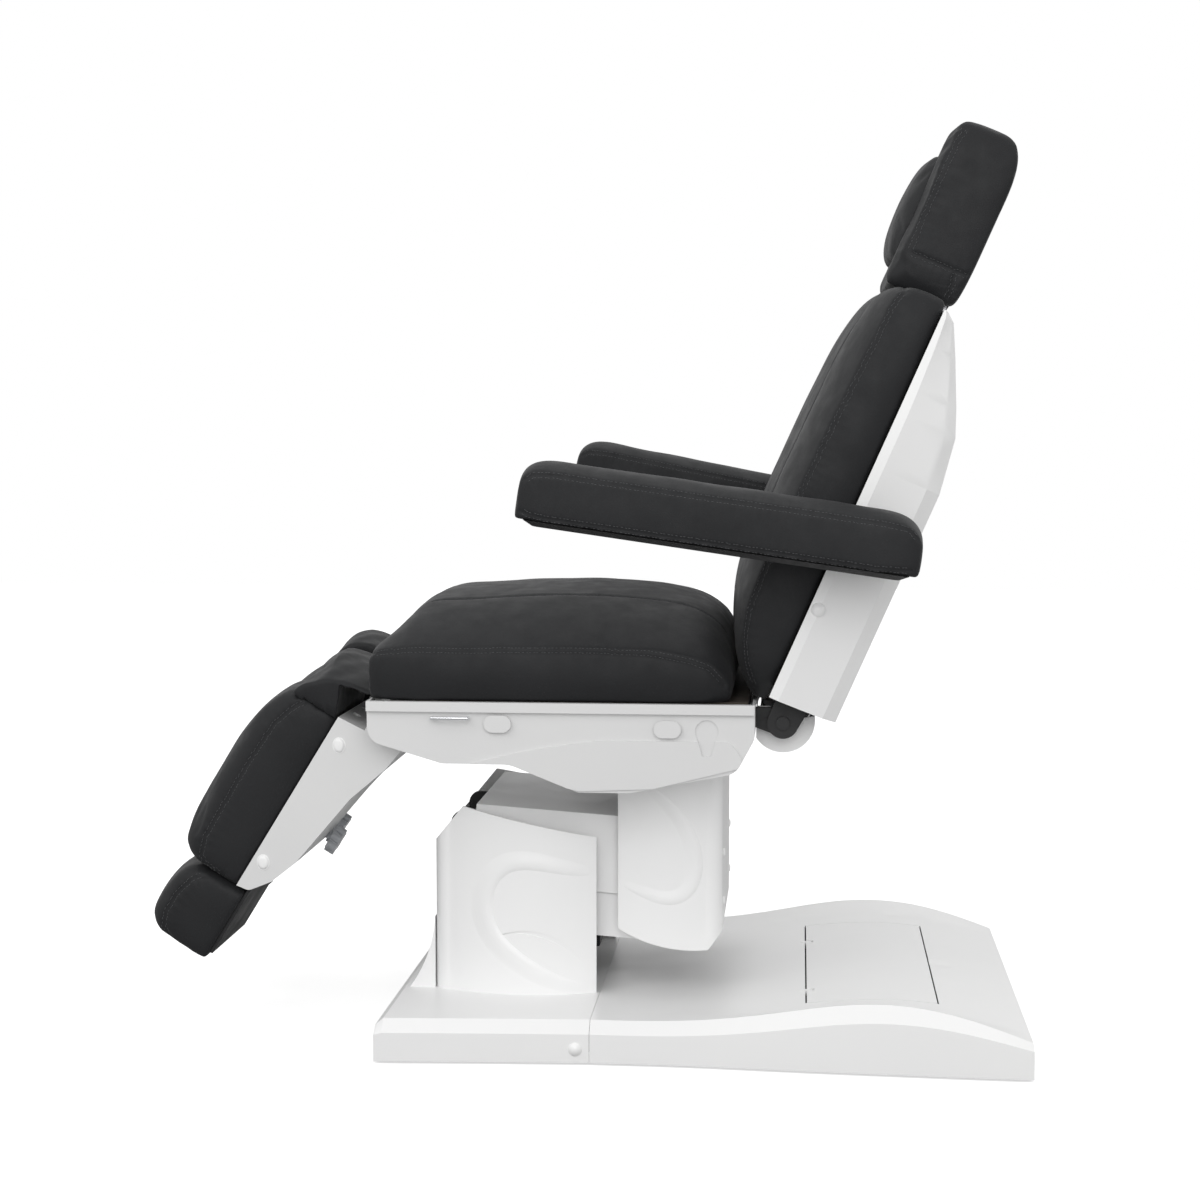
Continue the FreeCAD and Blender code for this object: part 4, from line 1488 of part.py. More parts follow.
def leg_pieces(prefix, side, drop):
    """Shell, frame, cushion, flap, foot frame, foot cushion and clamp knob of one leg rest."""
    y_mid = (LEG_INNER + LEG_OUTER) / 2
    half = (LEG_OUTER - LEG_INNER) / 2

    def stored(name, shape):
        placed = swung(shape, -drop, LEG_PIVOT_X, LEG_PIVOT_Z)
        nodes[prefix + name] = placed if side > 0 else mirrored(placed)

    shell = across(rounded_wire, leg_outline(0), LEG_INNER, LEG_OUTER)
    inside = across(rounded_wire, leg_outline(COVER_WALL), LEG_INNER + COVER_WALL, LEG_OUTER - COVER_WALL)
    mouth = block(-LEG_TOE + COVER_WALL, -LEG_HEEL - COVER_WALL, LEG_INNER + COVER_WALL,
                  LEG_OUTER - COVER_WALL,
                  LEG_TOP_N - COVER_WALL, LEG_TOP_N + OVERRUN)
    shell = shell.cut(inside).cut(mouth)
    shell = shell.cut(bar(0, 0, LEG_SHAFT_R + SIDE_PLAY, 0, LEG_OUTER + OVERRUN))
    rods = []
    for y in GUIDE_Y:
        rod = Part.makeCylinder(FOOT_ROD_R, FOOT_START - FOOT_ROD_END,
                                FreeCAD.Vector(-FOOT_START, y, GUIDE_N), AXIS_X)
        rods.append(rod)
        shell = shell.cut(Part.makeCylinder(FOOT_ROD_R + SIDE_PLAY, LEG_TOE,
                                            FreeCAD.Vector(-FOOT_START - OVERRUN, y, GUIDE_N),
                                            AXIS_X))
    shell = shell.cut(Part.makeCylinder(KNOB_STUD_R + SIDE_PLAY, LEG_TOP_N,
                                        FreeCAD.Vector(-KNOB_S, KNOB_Y, -KNOB_R), AXIS_Z))
    stored("_leg_shell", max(one_or_more(shell), key=lambda solid: solid.Volume))

    top_high = LEG_TOP_N
    top_low = LEG_TOP_N - COVER_WALL
    frame = block(-LEG_TOE + BOARD, -LEG_HEEL - BOARD, LEG_INNER + BOARD, LEG_OUTER - BOARD, top_low,
                  top_high)
    frame = frame.fuse(bar(0, 0, LEG_HUB_R, LEG_INNER + COVER_WALL * 2, LEG_OUTER - COVER_WALL * 2))
    for y in LEG_RIB_Y:
        rib = across(bowed_wire,
                     sharp(((0, -LEG_HUB_R), (0, LEG_HUB_R), (-LEG_HEEL - BOARD * 2, LEG_HUB_R),
                                        (-LEG_HEEL - BOARD * 2,
                                         top_high), (-GUIDE_END, top_high), (-GUIDE_END, LEG_HUB_R))),
                     y, y + PLATE)
        frame = frame.fuse(rib)
    for y in GUIDE_Y:
        guide = block(-GUIDE_START, -GUIDE_END, y - GUIDE_HALF, y + GUIDE_HALF,
                      GUIDE_N - GUIDE_HEIGHT / 2, top_high)
        frame = frame.fuse(guide)
    clamp_low = GUIDE_N - GUIDE_HEIGHT
    frame = frame.fuse(block(-KNOB_S - KNOB_BLOCK_HALF, -KNOB_S + KNOB_BLOCK_HALF,
                             KNOB_Y - KNOB_BLOCK_HALF, GUIDE_Y[1],
                             clamp_low, GUIDE_N - FOOT_ROD_R - RUN_FIT * 2))
    for y in GUIDE_Y:
        frame = frame.cut(Part.makeCylinder(FOOT_ROD_R + RUN_FIT, LEG_TOE,
                                            FreeCAD.Vector(-LEG_TOE, y, GUIDE_N), AXIS_X))
    frame = frame.cut(bar(0, 0, LEG_SHAFT_R + RUN_FIT, 0, LEG_OUTER))
    frame = frame.cut(Part.makeCylinder(KNOB_STUD_R + RUN_FIT, LEG_TOP_N * 2,
                                        FreeCAD.Vector(-KNOB_S, KNOB_Y, -LEG_TOP_N), AXIS_Z)
                      .common(block(-LEG_TOE, 0, 0, LEG_OUTER, -LEG_TOP_N, GUIDE_N)))
    stored("_leg_frame", one(frame))

    def pad(start, end, low, seam, crown, shares, bow):
        sections = []
        for s, wide, seam_share, crown_share in stretched(-start, start - end, shares):
            y = half * wide
            corners = ((y_mid - y + bow, low, 0), (y_mid + y - bow, low, bow),
                       (y_mid + y, low + seam * seam_share, bow),
                       (y_mid + y - LEG_PAD_CROWN * 2, low + crown * crown_share - LEG_PAD_CROWN / 2,
                        LEG_PAD_CROWN / 2),
                       (y_mid - y + LEG_PAD_CROWN * 2, low + crown * crown_share - LEG_PAD_CROWN / 2,
                        bow),
                       (y_mid - y, low + seam * seam_share, bow))
            sections.append(bowed_wire(corners, end_place(s)))
        return lofted(sections, False)

    stored("_leg_cushion",
           pad(LEG_TOE + COVER_WALL, FLAP_START + SOFT_GAP, LEG_TOP_N + SOFT_GAP, LEG_PAD_SEAM,
                               LEG_PAD_TOP, LEG_STATION_SHARES, LEG_PAD_BOW))

    board_low = FOOT_BASE_N - PLATE / 4
    board_high = FOOT_BASE_N + PLATE / 4
    foot = block(-FOOT_END + BOARD, -FOOT_START + OVERRUN, LEG_INNER + BOARD, LEG_OUTER - BOARD,
                 board_low, board_high)
    foot = foot.fuse(block(-FOOT_START, -FOOT_START + OVERRUN, GUIDE_Y[0] - GUIDE_HALF,
                           GUIDE_Y[1] + GUIDE_HALF,
                           board_low, GUIDE_N + FOOT_ROD_R + SIDE_PLAY))
    for rod in rods:
        foot = foot.fuse(rod)
    stored("_foot_frame", one(foot))
    stored("_foot_cushion",
           pad(FOOT_END, FOOT_START + SOFT_GAP, board_high + SOFT_GAP, FOOT_SEAM_N - board_high,
                                FOOT_TOP_N - board_high, tuple(reversed_shares(FOOT_STATION_SHARES)),
                                LEG_PAD_BOW))

    head_low = KNOB_TOP_N - KNOB_HEIGHT
    knob = Part.makeCylinder(KNOB_R - KNOB_LOBE_R, KNOB_HEIGHT, FreeCAD.Vector(0, 0, head_low), AXIS_Z)
    for index in range(KNOB_LOBES):
        turn = 2 * math.pi * index / KNOB_LOBES
        reach = KNOB_R - KNOB_LOBE_R
        knob = knob.fuse(Part.makeCylinder(KNOB_LOBE_R, KNOB_HEIGHT,
                                           FreeCAD.Vector(reach * math.cos(turn), reach * math.sin(turn),
                                                                                    head_low), AXIS_Z))
    knob = knob.fuse(Part.makeCylinder(KNOB_NECK_R, KNOB_NECK - SOFT_GAP,
                                       FreeCAD.Vector(0, 0, KNOB_TOP_N), AXIS_Z))
    knob = knob.fuse(Part.makeCylinder(KNOB_STUD_R, GUIDE_N - FOOT_ROD_R * 2 - KNOB_TOP_N,
                                       FreeCAD.Vector(0, 0, KNOB_TOP_N), AXIS_Z))
    knob = one(knob)
    knob.translate(FreeCAD.Vector(-KNOB_S, KNOB_Y, 0))
    stored("_clamp_knob", knob)

    flap = leg_flap(drop)
    nodes[prefix + "_leg_flap"] = flap if side > 0 else mirrored(flap)


def reversed_shares(shares):
    """The same stations counted from the other end."""
    return [(1 - row[0],) + tuple(row[1:]) for row in reversed(shares)]


# Armrests


def arm_pieces(prefix, side, tip):
    """Board with hub, and the pad of one armrest."""
    turn = math.radians(BACK_ANGLE)
    pivot_x = BACK_X + ARM_PIVOT_U * math.cos(turn) - ARM_PIVOT_N * math.sin(turn)
    pivot_z = BACK_Z + ARM_PIVOT_U * math.sin(turn) + ARM_PIVOT_N * math.cos(turn)

    def stored(name, shape):
        placed = swung(shape, tip, pivot_x, pivot_z)
        nodes[prefix + name] = placed if side > 0 else mirrored(placed)

    low = -REST_BOTTOM
    board_high = low + REST_BOARD
    inset = REST_BEVEL
    y0 = REST_INNER
    y1 = REST_OUTER
    sections = []
    for z, draw in ((low, inset), (board_high, 0)):
        corners = ((-REST_FRONT + inset + draw, y0 + draw, inset),
                   (REST_REAR - inset - draw, y0 + draw, inset),
                   (REST_REAR - inset - draw, y1 - draw, inset), (-REST_FRONT + inset + draw, y1 - draw,
                                                                  inset))
        sections.append(rounded_wire(corners, plan_place(z)))
    board = lofted(sections, True)
    hub_outer = REST_INNER - SOFT_GAP * 2
    hub = across(rounded_wire, ((-REST_HUB_HALF, low, EDGE_ROUND), (REST_HUB_HALF, low, EDGE_ROUND),
                                (REST_HUB_HALF, REST_HUB_TOP,
                                 REST_HUB_HALF / 2), (-REST_HUB_HALF, REST_HUB_TOP, REST_HUB_HALF / 2)),
                 REST_HUB_INNER, hub_outer)
    web = block(-REST_HUB_HALF, REST_HUB_HALF - REST_BEVEL, hub_outer - OVERRUN, REST_INNER + inset * 2,
                low, board_high)
    core = board.fuse(hub).fuse(web)
    core = core.cut(bar(0, 0, ARM_SHAFT_R + RUN_FIT, REST_HUB_INNER - OVERRUN, ARM_SHAFT_END + SIDE_PLAY))
    stored("_arm_board", one(core))

    pad_low = board_high + SOFT_GAP
    y_mid = (y0 + y1) / 2
    half = (y1 - y0) / 2
    sections = []
    for x, wide, tall in stretched(-REST_FRONT, REST_FRONT + REST_REAR, REST_STATION_SHARES):
        y = half * wide
        seam = pad_low + (REST_SEAM - pad_low) * tall
        crown = (REST_TOP - REST_SEAM) * tall
        corners = ((y_mid - y, pad_low, 0), (y_mid + y, pad_low, REST_SIDE_BOW * wide),
                   (y_mid + y, seam, crown), (y_mid - y, seam, 0))
        sections.append(bowed_wire(corners, end_place(x)))
    stored("_arm_pad", lofted(sections, False))


base_pieces()
seat_pieces()
column_pieces()
lift_pieces()
hinge_pieces()
back_pieces()
head_pieces()
leg_pieces("left", -1, LEG_DROP)
leg_pieces("right", 1, LEG_DROP - LEG_RIGHT_EXTRA)
arm_pieces("left", -1, REST_TIP)
arm_pieces("right", 1, REST_TIP + REST_RIGHT_EXTRA)

os.makedirs("parts", exist_ok=True)
for name, shape in nodes.items():
    shape.exportStep("parts/" + name + ".step")
    print(name, len(shape.Solids), shape.isValid(), round(shape.Volume))
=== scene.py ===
import json
import math
import bpy
import bmesh
import numpy as np
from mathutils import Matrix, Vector
from mathutils.bvhtree import BVHTree
from mathutils.kdtree import KDTree


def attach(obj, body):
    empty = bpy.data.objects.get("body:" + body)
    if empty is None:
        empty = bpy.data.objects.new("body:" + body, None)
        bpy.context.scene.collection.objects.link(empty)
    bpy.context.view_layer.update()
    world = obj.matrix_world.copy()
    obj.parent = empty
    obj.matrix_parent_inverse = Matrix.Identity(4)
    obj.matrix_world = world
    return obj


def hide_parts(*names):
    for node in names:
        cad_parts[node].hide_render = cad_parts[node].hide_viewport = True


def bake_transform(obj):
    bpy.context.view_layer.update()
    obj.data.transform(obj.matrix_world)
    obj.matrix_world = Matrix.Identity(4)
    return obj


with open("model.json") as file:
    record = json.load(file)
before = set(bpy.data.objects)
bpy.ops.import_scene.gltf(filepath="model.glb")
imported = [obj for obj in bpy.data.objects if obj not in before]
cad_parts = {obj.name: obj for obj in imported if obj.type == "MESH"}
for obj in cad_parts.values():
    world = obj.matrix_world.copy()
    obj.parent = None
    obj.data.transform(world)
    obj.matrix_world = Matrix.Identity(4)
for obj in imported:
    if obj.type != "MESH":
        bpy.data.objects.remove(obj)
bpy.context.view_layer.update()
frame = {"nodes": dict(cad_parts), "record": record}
nodes = frame["nodes"]
scene = bpy.context.scene
MM = 0.001
SIDES = (("left", -1), ("right", 1))


# Materials


def shader(name, color, rough, metallic=0.0):
    """New material with its principled shader; constants sit on the sockets."""
    mat = bpy.data.materials.new(name)
    mat.use_nodes = True
    tree = mat.node_tree
    bsdf = tree.nodes["Principled BSDF"]
    bsdf.inputs["Base Color"].default_value = (*color, 1)
    bsdf.inputs["Roughness"].default_value = rough
    bsdf.inputs["Metallic"].default_value = metallic
    return mat, tree, bsdf


def coords(tree, scale=(1, 1, 1)):
    """Object coordinates in metres, stretched by a scale."""
    tex = tree.nodes.new("ShaderNodeTexCoord")
    mapping = tree.nodes.new("ShaderNodeMapping")
    mapping.inputs["Scale"].default_value = scale
    tree.links.new(tex.outputs["Object"], mapping.inputs["Vector"])
    return mapping.outputs["Vector"]


def noise(tree, vector, scale, detail=3.0, rough=0.5):
    """Noise value socket."""
    node = tree.nodes.new("ShaderNodeTexNoise")
    node.inputs["Scale"].default_value = scale
    node.inputs["Detail"].default_value = detail
    node.inputs["Roughness"].default_value = rough
    tree.links.new(vector, node.inputs["Vector"])
    return node.outputs["Fac"]


NOISE_LOW, NOISE_HIGH = 0.3, 0.7


def spread(tree, value, low, high):
    """Noise value mapped to low-high, clipped at the ends of its usual range."""
    node = tree.nodes.new("ShaderNodeMapRange")
    node.inputs["From Min"].default_value = NOISE_LOW
    node.inputs["From Max"].default_value = NOISE_HIGH
    node.inputs["To Min"].default_value = low
    node.inputs["To Max"].default_value = high
    tree.links.new(value, node.inputs["Value"])
    return node.outputs["Result"]


# colour sockets of the mix node
MIX_FACTOR, MIX_DARK, MIX_LIGHT, MIX_RESULT = 0, 6, 7, 2


def tint(tree, value, dark, light):
    """Colour between two tints by a value."""
    node = tree.nodes.new("ShaderNodeMix")
    node.data_type = "RGBA"
    node.inputs[MIX_DARK].default_value = (*dark, 1)
    node.inputs[MIX_LIGHT].default_value = (*light, 1)
    tree.links.new(value, node.inputs[MIX_FACTOR])
    return node.outputs[MIX_RESULT]


def bump(tree, bsdf, heights):
    """Stacks bump nodes: (height socket, strength, distance)."""
    normal = None
    for height, strength, distance in heights:
        node = tree.nodes.new("ShaderNodeBump")
        node.inputs["Strength"].default_value = strength
        node.inputs["Distance"].default_value = distance
        tree.links.new(height, node.inputs["Height"])
        if normal is not None:
            tree.links.new(normal, node.inputs["Normal"])
        normal = node.outputs["Normal"]
    tree.links.new(normal, bsdf.inputs["Normal"])


def leather():
    """Charcoal synthetic leather: pebbled grain, soft sheen, faint tonal drift."""
    mat, tree, bsdf = shader("leather", (0.0165, 0.017, 0.0182), 0.55)
    vec = coords(tree)
    cells = tree.nodes.new("ShaderNodeTexVoronoi")
    cells.inputs["Scale"].default_value = 620
    cells.inputs["Randomness"].default_value = 0.9
    tree.links.new(vec, cells.inputs["Vector"])
    fine = noise(tree, vec, 900, 2)
    broad = noise(tree, vec, 7, 3)
    color = tint(tree, spread(tree, broad, 0, 1), (0.0145, 0.015, 0.0162), (0.0185, 0.019, 0.0205))
    tree.links.new(color, bsdf.inputs["Base Color"])
    tree.links.new(spread(tree, noise(tree, vec, 40, 4), 0.48, 0.62), bsdf.inputs["Roughness"])
    bsdf.inputs["Specular IOR Level"].default_value = 0.22
    bsdf.inputs["Sheen Weight"].default_value = 0.04
    creases = noise(tree, vec, 28, 2)
    bump(tree, bsdf, ((cells.outputs["Distance"], 0.22, 0.0006), (fine, 0.12, 0.0004), (creases, 0.10, 0.004)))
    return mat


def white_plastic(name, level):
    """White satin moulded plastic: orange peel, slight roughness drift, thin clear gloss."""
    mat, tree, bsdf = shader(name, (level, level, level), 0.34)
    vec = coords(tree)
    drift = spread(tree, noise(tree, vec, 3, 3), 0, 1)
    dark, light = level - 0.01, level + 0.01
    color = tint(tree, drift, (dark, dark, dark), (light, light, level + 0.005))
    tree.links.new(color, bsdf.inputs["Base Color"])
    tree.links.new(spread(tree, noise(tree, vec, 16, 4), 0.30, 0.40), bsdf.inputs["Roughness"])
    bsdf.inputs["Coat Weight"].default_value = 0.12
    bsdf.inputs["Coat Roughness"].default_value = 0.2
    bump(tree, bsdf, ((noise(tree, vec, 420, 2), 0.05, 0.0006), (noise(tree, vec, 60, 2), 0.03, 0.002)))
    return mat


def powder_black():
    """Black powder coat with its fine texture."""
    mat, tree, bsdf = shader("powder_black", (0.012, 0.012, 0.013), 0.48)
    vec = coords(tree)
    tree.links.new(spread(tree, noise(tree, vec, 24, 4), 0.4, 0.58), bsdf.inputs["Roughness"])
    bump(tree, bsdf, ((noise(tree, vec, 1400, 2), 0.18, 0.0004),))
    return mat


def matte_black():
    """Matte black plastic with spark-eroded texture."""
    mat, tree, bsdf = shader("matte_black", (0.014, 0.014, 0.015), 0.62)
    vec = coords(tree)
    tree.links.new(spread(tree, noise(tree, vec, 50, 3), 0.55, 0.7), bsdf.inputs["Roughness"])
    bump(tree, bsdf, ((noise(tree, vec, 1800, 2), 0.22, 0.0003),))
    return mat


def steel():
    """Ground steel, brushed along its length."""
    mat, tree, bsdf = shader("steel", (0.56, 0.56, 0.58), 0.3, 1.0)
    vec = coords(tree, (8, 900, 8))
    streak = noise(tree, vec, 3, 3)
    tree.links.new(spread(tree, streak, 0.24, 0.4), bsdf.inputs["Roughness"])
    bump(tree, bsdf, ((streak, 0.06, 0.0004),))
    return mat


def chrome():
    """Bright chrome with faint haze."""
    mat, tree, bsdf = shader("chrome", (0.78, 0.79, 0.81), 0.08, 1.0)
    tree.links.new(spread(tree, noise(tree, coords(tree), 90, 3), 0.05, 0.13), bsdf.inputs["Roughness"])
    return mat


def plywood():
    """Plywood stained dark."""
    mat, tree, bsdf = shader("plywood", (0.05, 0.038, 0.028), 0.65)
    grain = noise(tree, coords(tree, (2, 40, 40)), 6, 5, 0.6)
    stain = tint(tree, spread(tree, grain, 0, 1), (0.035, 0.027, 0.02), (0.065, 0.05, 0.037))
    tree.links.new(stain, bsdf.inputs["Base Color"])
    bump(tree, bsdf, ((grain, 0.1, 0.0006),))
    return mat


def smoked():
    """Smoked clear plastic of the clamp knobs."""
    mat, tree, bsdf = shader("smoked", (0.62, 0.64, 0.67), 0.16)
    bsdf.inputs["Transmission Weight"].default_value = 0.35
    bsdf.inputs["IOR"].default_value = 1.46
    tree.links.new(spread(tree, noise(tree, coords(tree), 70, 3), 0.12, 0.24), bsdf.inputs["Roughness"])
    return mat


def rubber():
    """Dark rubber."""
    mat, tree, bsdf = shader("rubber", (0.02, 0.02, 0.021), 0.8)
    bump(tree, bsdf, ((noise(tree, coords(tree), 700, 2), 0.2, 0.0004),))
    return mat


def thread():
    """Twisted tonal thread."""
    mat, tree, bsdf = shader("thread", (0.085, 0.086, 0.09), 0.7)
    wave = tree.nodes.new("ShaderNodeTexWave")
    wave.inputs["Scale"].default_value = 900
    tree.links.new(coords(tree), wave.inputs["Vector"])
    bump(tree, bsdf, ((wave.outputs["Fac"], 0.4, 0.0003),))
    return mat


LEATHER = leather()
# One white plastic in a lit and a shaded copy: the darker copy is painted shade on the seat and leg shells, whose faces
# turn downward
WHITE = white_plastic("white_plastic", 0.90)
SHADED_SHELL_WHITE = white_plastic("shaded_shell_white", 0.73)
BLACK = powder_black()
MATTE = matte_black()
STEEL = steel()
CHROME = chrome()
PLY = plywood()
SMOKED = smoked()
RUBBER = rubber()
THREAD = thread()
SLOT_MATERIAL = {
    "white_shell": WHITE, "upholstery": LEATHER, "black_steel": BLACK, "bright_steel": STEEL, "chrome": CHROME,
    "black_plastic": MATTE, "plywood": PLY, "grey_knob": SMOKED, "rubber": RUBBER,
}


# CAD nodes


WELD_REACH = 0.02 * MM
# shells that take the darker, shaded copy of the white plastic: painted shade
SHADED_SHELLS = ("seat_shell", "left_leg_shell", "right_leg_shell", "shell_caps")
BASE_SKINS = ("base_front_cover", "base_rear_cover")
EDGE_ROUND = {"white_shell": 1.2, "black_steel": 0.8, "black_plastic": 0.8, "grey_knob": 0.8}
SKIN_ANGLE, EDGE_ANGLE = 24, 40


def dress(node, mat, bevel, angle):
    """Material, soft shading and a small edge round on a CAD node."""
    node.data.materials.clear()
    node.data.materials.append(mat)
    if bevel:
        weld = node.modifiers.new("weld", "WELD")
        weld.merge_threshold = WELD_REACH
        edge = node.modifiers.new("edge", "BEVEL")
        edge.width = bevel
        edge.segments = 2
        edge.limit_method = "ANGLE"
        edge.angle_limit = math.radians(angle)
        edge.use_clamp_overlap = True
        edge.harden_normals = False
    node.modifiers.new("smooth", "WEIGHTED_NORMAL").keep_sharp = True


for entry in frame["record"]["subparts"]:
    slot_name = entry["material_slot"]
    finish = SHADED_SHELL_WHITE if entry["node"] in SHADED_SHELLS else SLOT_MATERIAL[slot_name]
    limit = SKIN_ANGLE if entry["node"] in BASE_SKINS else EDGE_ANGLE
    dress(nodes[entry["node"]], finish, EDGE_ROUND.get(slot_name, 0) * MM, limit)


# Upholstery


def link(name, mesh, mat):
    """New object in the scene."""
    obj = bpy.data.objects.new(name, mesh)
    scene.collection.objects.link(obj)
    mesh.materials.clear()
    mesh.materials.append(mat)
    return obj


def baked(obj):
    """Mesh of an object with its modifiers applied."""
    bpy.context.view_layer.update()
    deps = bpy.context.evaluated_depsgraph_get()
    return bpy.data.meshes.new_from_object(obj.evaluated_get(deps))


def points_of(mesh):
    """Vertex positions as an array."""
    co = np.empty(len(mesh.vertices) * 3)
    mesh.vertices.foreach_get("co", co)
    return co.reshape(-1, 3)


def normals_of(mesh):
    """Vertex normals as an array."""
    out = np.empty(len(mesh.vertices) * 3)
    mesh.vertex_normals.foreach_get("vector", out)
    return out.reshape(-1, 3)


def swap_mesh(obj, mesh):
    """Puts a baked mesh on the object and drops its modifiers."""
    obj.modifiers.clear()
    old = obj.data
    obj.data = mesh
    bpy.data.meshes.remove(old)


def move_points(obj, co):
    """Sets the vertex positions."""
    obj.data.vertices.foreach_set("co", co.ravel())
    obj.data.update()


def soft_shaded(mesh):
    """Smooth shading on every face."""
    mesh.polygons.foreach_set("use_smooth", [True] * len(mesh.polygons))


def remeshed(obj, voxel, rounds):
    """Even voxel mesh, its steps smoothed out."""
    mod = obj.modifiers.new("voxel", "REMESH")
    mod.mode = "VOXEL"
    mod.voxel_size = voxel * MM
    swap_mesh(obj, baked(obj))
    smoothed(obj, rounds)


def subdivided(obj):
    """Every face split in four and rounded."""
    sub = obj.modifiers.new("sub", "SUBSURF")
    sub.levels = sub.render_levels = 1
    swap_mesh(obj, baked(obj))


def smoothed(obj, rounds):
    """Evens out the voxel steps."""
    mod = obj.modifiers.new("even", "SMOOTH")
    mod.iterations = rounds
    mod.factor = 0.5
    swap_mesh(obj, baked(obj))


def finished(bm, name, mat, body, smooth=True):
    """Object of a bmesh that rides on a body."""
    mesh = bpy.data.meshes.new(name)
    bm.to_mesh(mesh)
    bm.free()
    if smooth:
        soft_shaded(mesh)
    obj = link(name, mesh, mat)
    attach(obj, body)


def tree_of(mesh):
    """Search tree over a mesh."""
    return BVHTree.FromPolygons([v.co[:] for v in mesh.vertices], [p.vertices[:] for p in mesh.polygons])


SEAM_STEP, STITCH_STEP = 4 * MM, 2 * MM


def laid(path, bvh, step=SEAM_STEP):
    """Path in millimetres sampled evenly and dropped on the nearest surface: points and normals in metres."""
    raw = np.array(path, float) * MM
    out = []
    for a, b in zip(raw[:-1], raw[1:]):
        count = max(1, int(np.linalg.norm(b - a) / step))
        out.extend(a + (b - a) * i / count for i in range(count))
    out.append(raw[-1])
    spots, normals = [], []
    for p in out:
        hit, normal, _, _ = bvh.find_nearest(Vector(p))
        spots.append(np.array(hit))
        normals.append(np.array(normal))
    return np.array(spots), np.array(normals)


def lengths_along(run):
    """Distance of each point of a polyline from its start."""
    return np.r_[0, np.cumsum(np.linalg.norm(np.diff(run, axis=0), axis=1))]


def near_seams(co, runs):
    """Distance of every vertex from the nearest seam and the place along it."""
    tree = KDTree(sum(len(r) for r in runs))
    along, index = [], 0
    for run in runs:
        for p, s in zip(run, lengths_along(run)):
            tree.insert(Vector(p), index)
            along.append(s)
            index += 1
    tree.balance()
    found = [tree.find(Vector(p)) for p in co]
    return np.array([f[2] for f in found]), np.array([along[f[1]] for f in found])


CLOTH_FRAMES = 20
PRESSURE = 4.0
TINY = 1e-9


def puffed(obj, held, cap):
    """Cloth under inner pressure; held vertices stay, the rest swells at most by the cap."""
    start = points_of(obj.data)
    group = obj.vertex_groups.new(name="held")
    for i in np.nonzero(held > 0.01)[0]:
        group.add([int(i)], float(held[i]), "REPLACE")
    cloth = obj.modifiers.new("cloth", "CLOTH")
    cloth.settings.quality = 3
    cloth.settings.mass = 0.3
    cloth.settings.tension_stiffness = 8
    cloth.settings.compression_stiffness = 8
    cloth.settings.bending_stiffness = 0.6
    cloth.settings.use_pressure = True
    cloth.settings.uniform_pressure_force = PRESSURE
    cloth.settings.vertex_group_mass = "held"
    cloth.settings.effector_weights.gravity = 0
    cloth.point_cache.frame_start = 1
    cloth.point_cache.frame_end = CLOTH_FRAMES
    for step in range(1, CLOTH_FRAMES + 1):
        scene.frame_set(step)
    mesh = baked(obj)
    moved = points_of(mesh) - start
    scene.frame_set(1)
    bpy.data.meshes.remove(mesh)
    obj.modifiers.clear()
    obj.vertex_groups.clear()
    size = np.linalg.norm(moved, axis=1, keepdims=True)
    moved *= np.minimum(1, cap / np.maximum(size, TINY))
    move_points(obj, start + moved)


# waves of the leather beside a seam: height, pitch, reach and the flat strip at the seam
RIPPLE, RIPPLE_PITCH, RIPPLE_REACH, RIPPLE_START = 0.5 * MM, 13 * MM, 12 * MM, 3 * MM


def cushion(node, body, seams, voxel=6.0, cap=4.0, groove=2.4, width=4.5, down=(0, 0, -1), shape=None):
    """Sewn, foam-filled cover grown from a CAD node: seams hold, panels swell, seams draw in."""
    obj = link(node + "_cover", nodes[node].data.copy(), LEATHER)
    if shape is not None:
        obj.data.vertices.foreach_set("co", shape(points_of(obj.data)).ravel())
    remeshed(obj, voxel, 4)
    if seams:
        bvh = tree_of(obj.data)
        runs = [laid(path, bvh)[0] for path in seams]
        gap, _ = near_seams(points_of(obj.data), runs)
        held = np.clip(1.4 - gap / (voxel * MM), 0, 1)
    else:
        held = np.zeros(len(obj.data.vertices))
    under = normals_of(obj.data) @ np.array(down)
    held = np.maximum(held, np.clip((under - 0.75) * 6, 0, 1))
    puffed(obj, held, cap * MM)
    smoothed(obj, 2)
    subdivided(obj)
    co = points_of(obj.data)
    normal = normals_of(obj.data)
    x, y, z = co.T
    lift = 0.5 * np.sin(x * 61 + 3 * np.sin(y * 17)) * np.sin(y * 53 + 2 * np.sin(z * 23)) * MM
    if seams:
        bvh = tree_of(obj.data)
        gap, along = near_seams(co, [laid(path, bvh)[0] for path in seams])
        wave = np.sin(along * 2 * math.pi / RIPPLE_PITCH + 2.0 * np.sin(along * 41)) * (0.6 + 0.4 * np.sin(along * 23))
        lift -= groove * MM * np.exp(-(gap / (width * MM)) ** 2)
        lift += RIPPLE * wave * np.exp(-gap / RIPPLE_REACH) * (1 - np.exp(-(gap / RIPPLE_START) ** 2))
    lift *= 1 - np.clip((normal @ np.array(down) - 0.6) * 4, 0, 1)
    move_points(obj, co + normal * lift[:, None])
    soft_shaded(obj.data)
    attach(obj, body)
    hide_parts(node)
    if seams:
        stitches(node + "_stitches", body, seams, tree_of(obj.data))


STITCH_LENGTH, STITCH_RADIUS, STITCH_PITCH = 3.4 * MM, 0.42 * MM, 5.2 * MM
STITCH_ASIDE, STITCH_RISE = 3.6 * MM, 0.1 * MM
STITCH_END, SHORT_SEAM = 6 * MM, 20 * MM
# points to either side that give the direction of a seam
REACH = 2


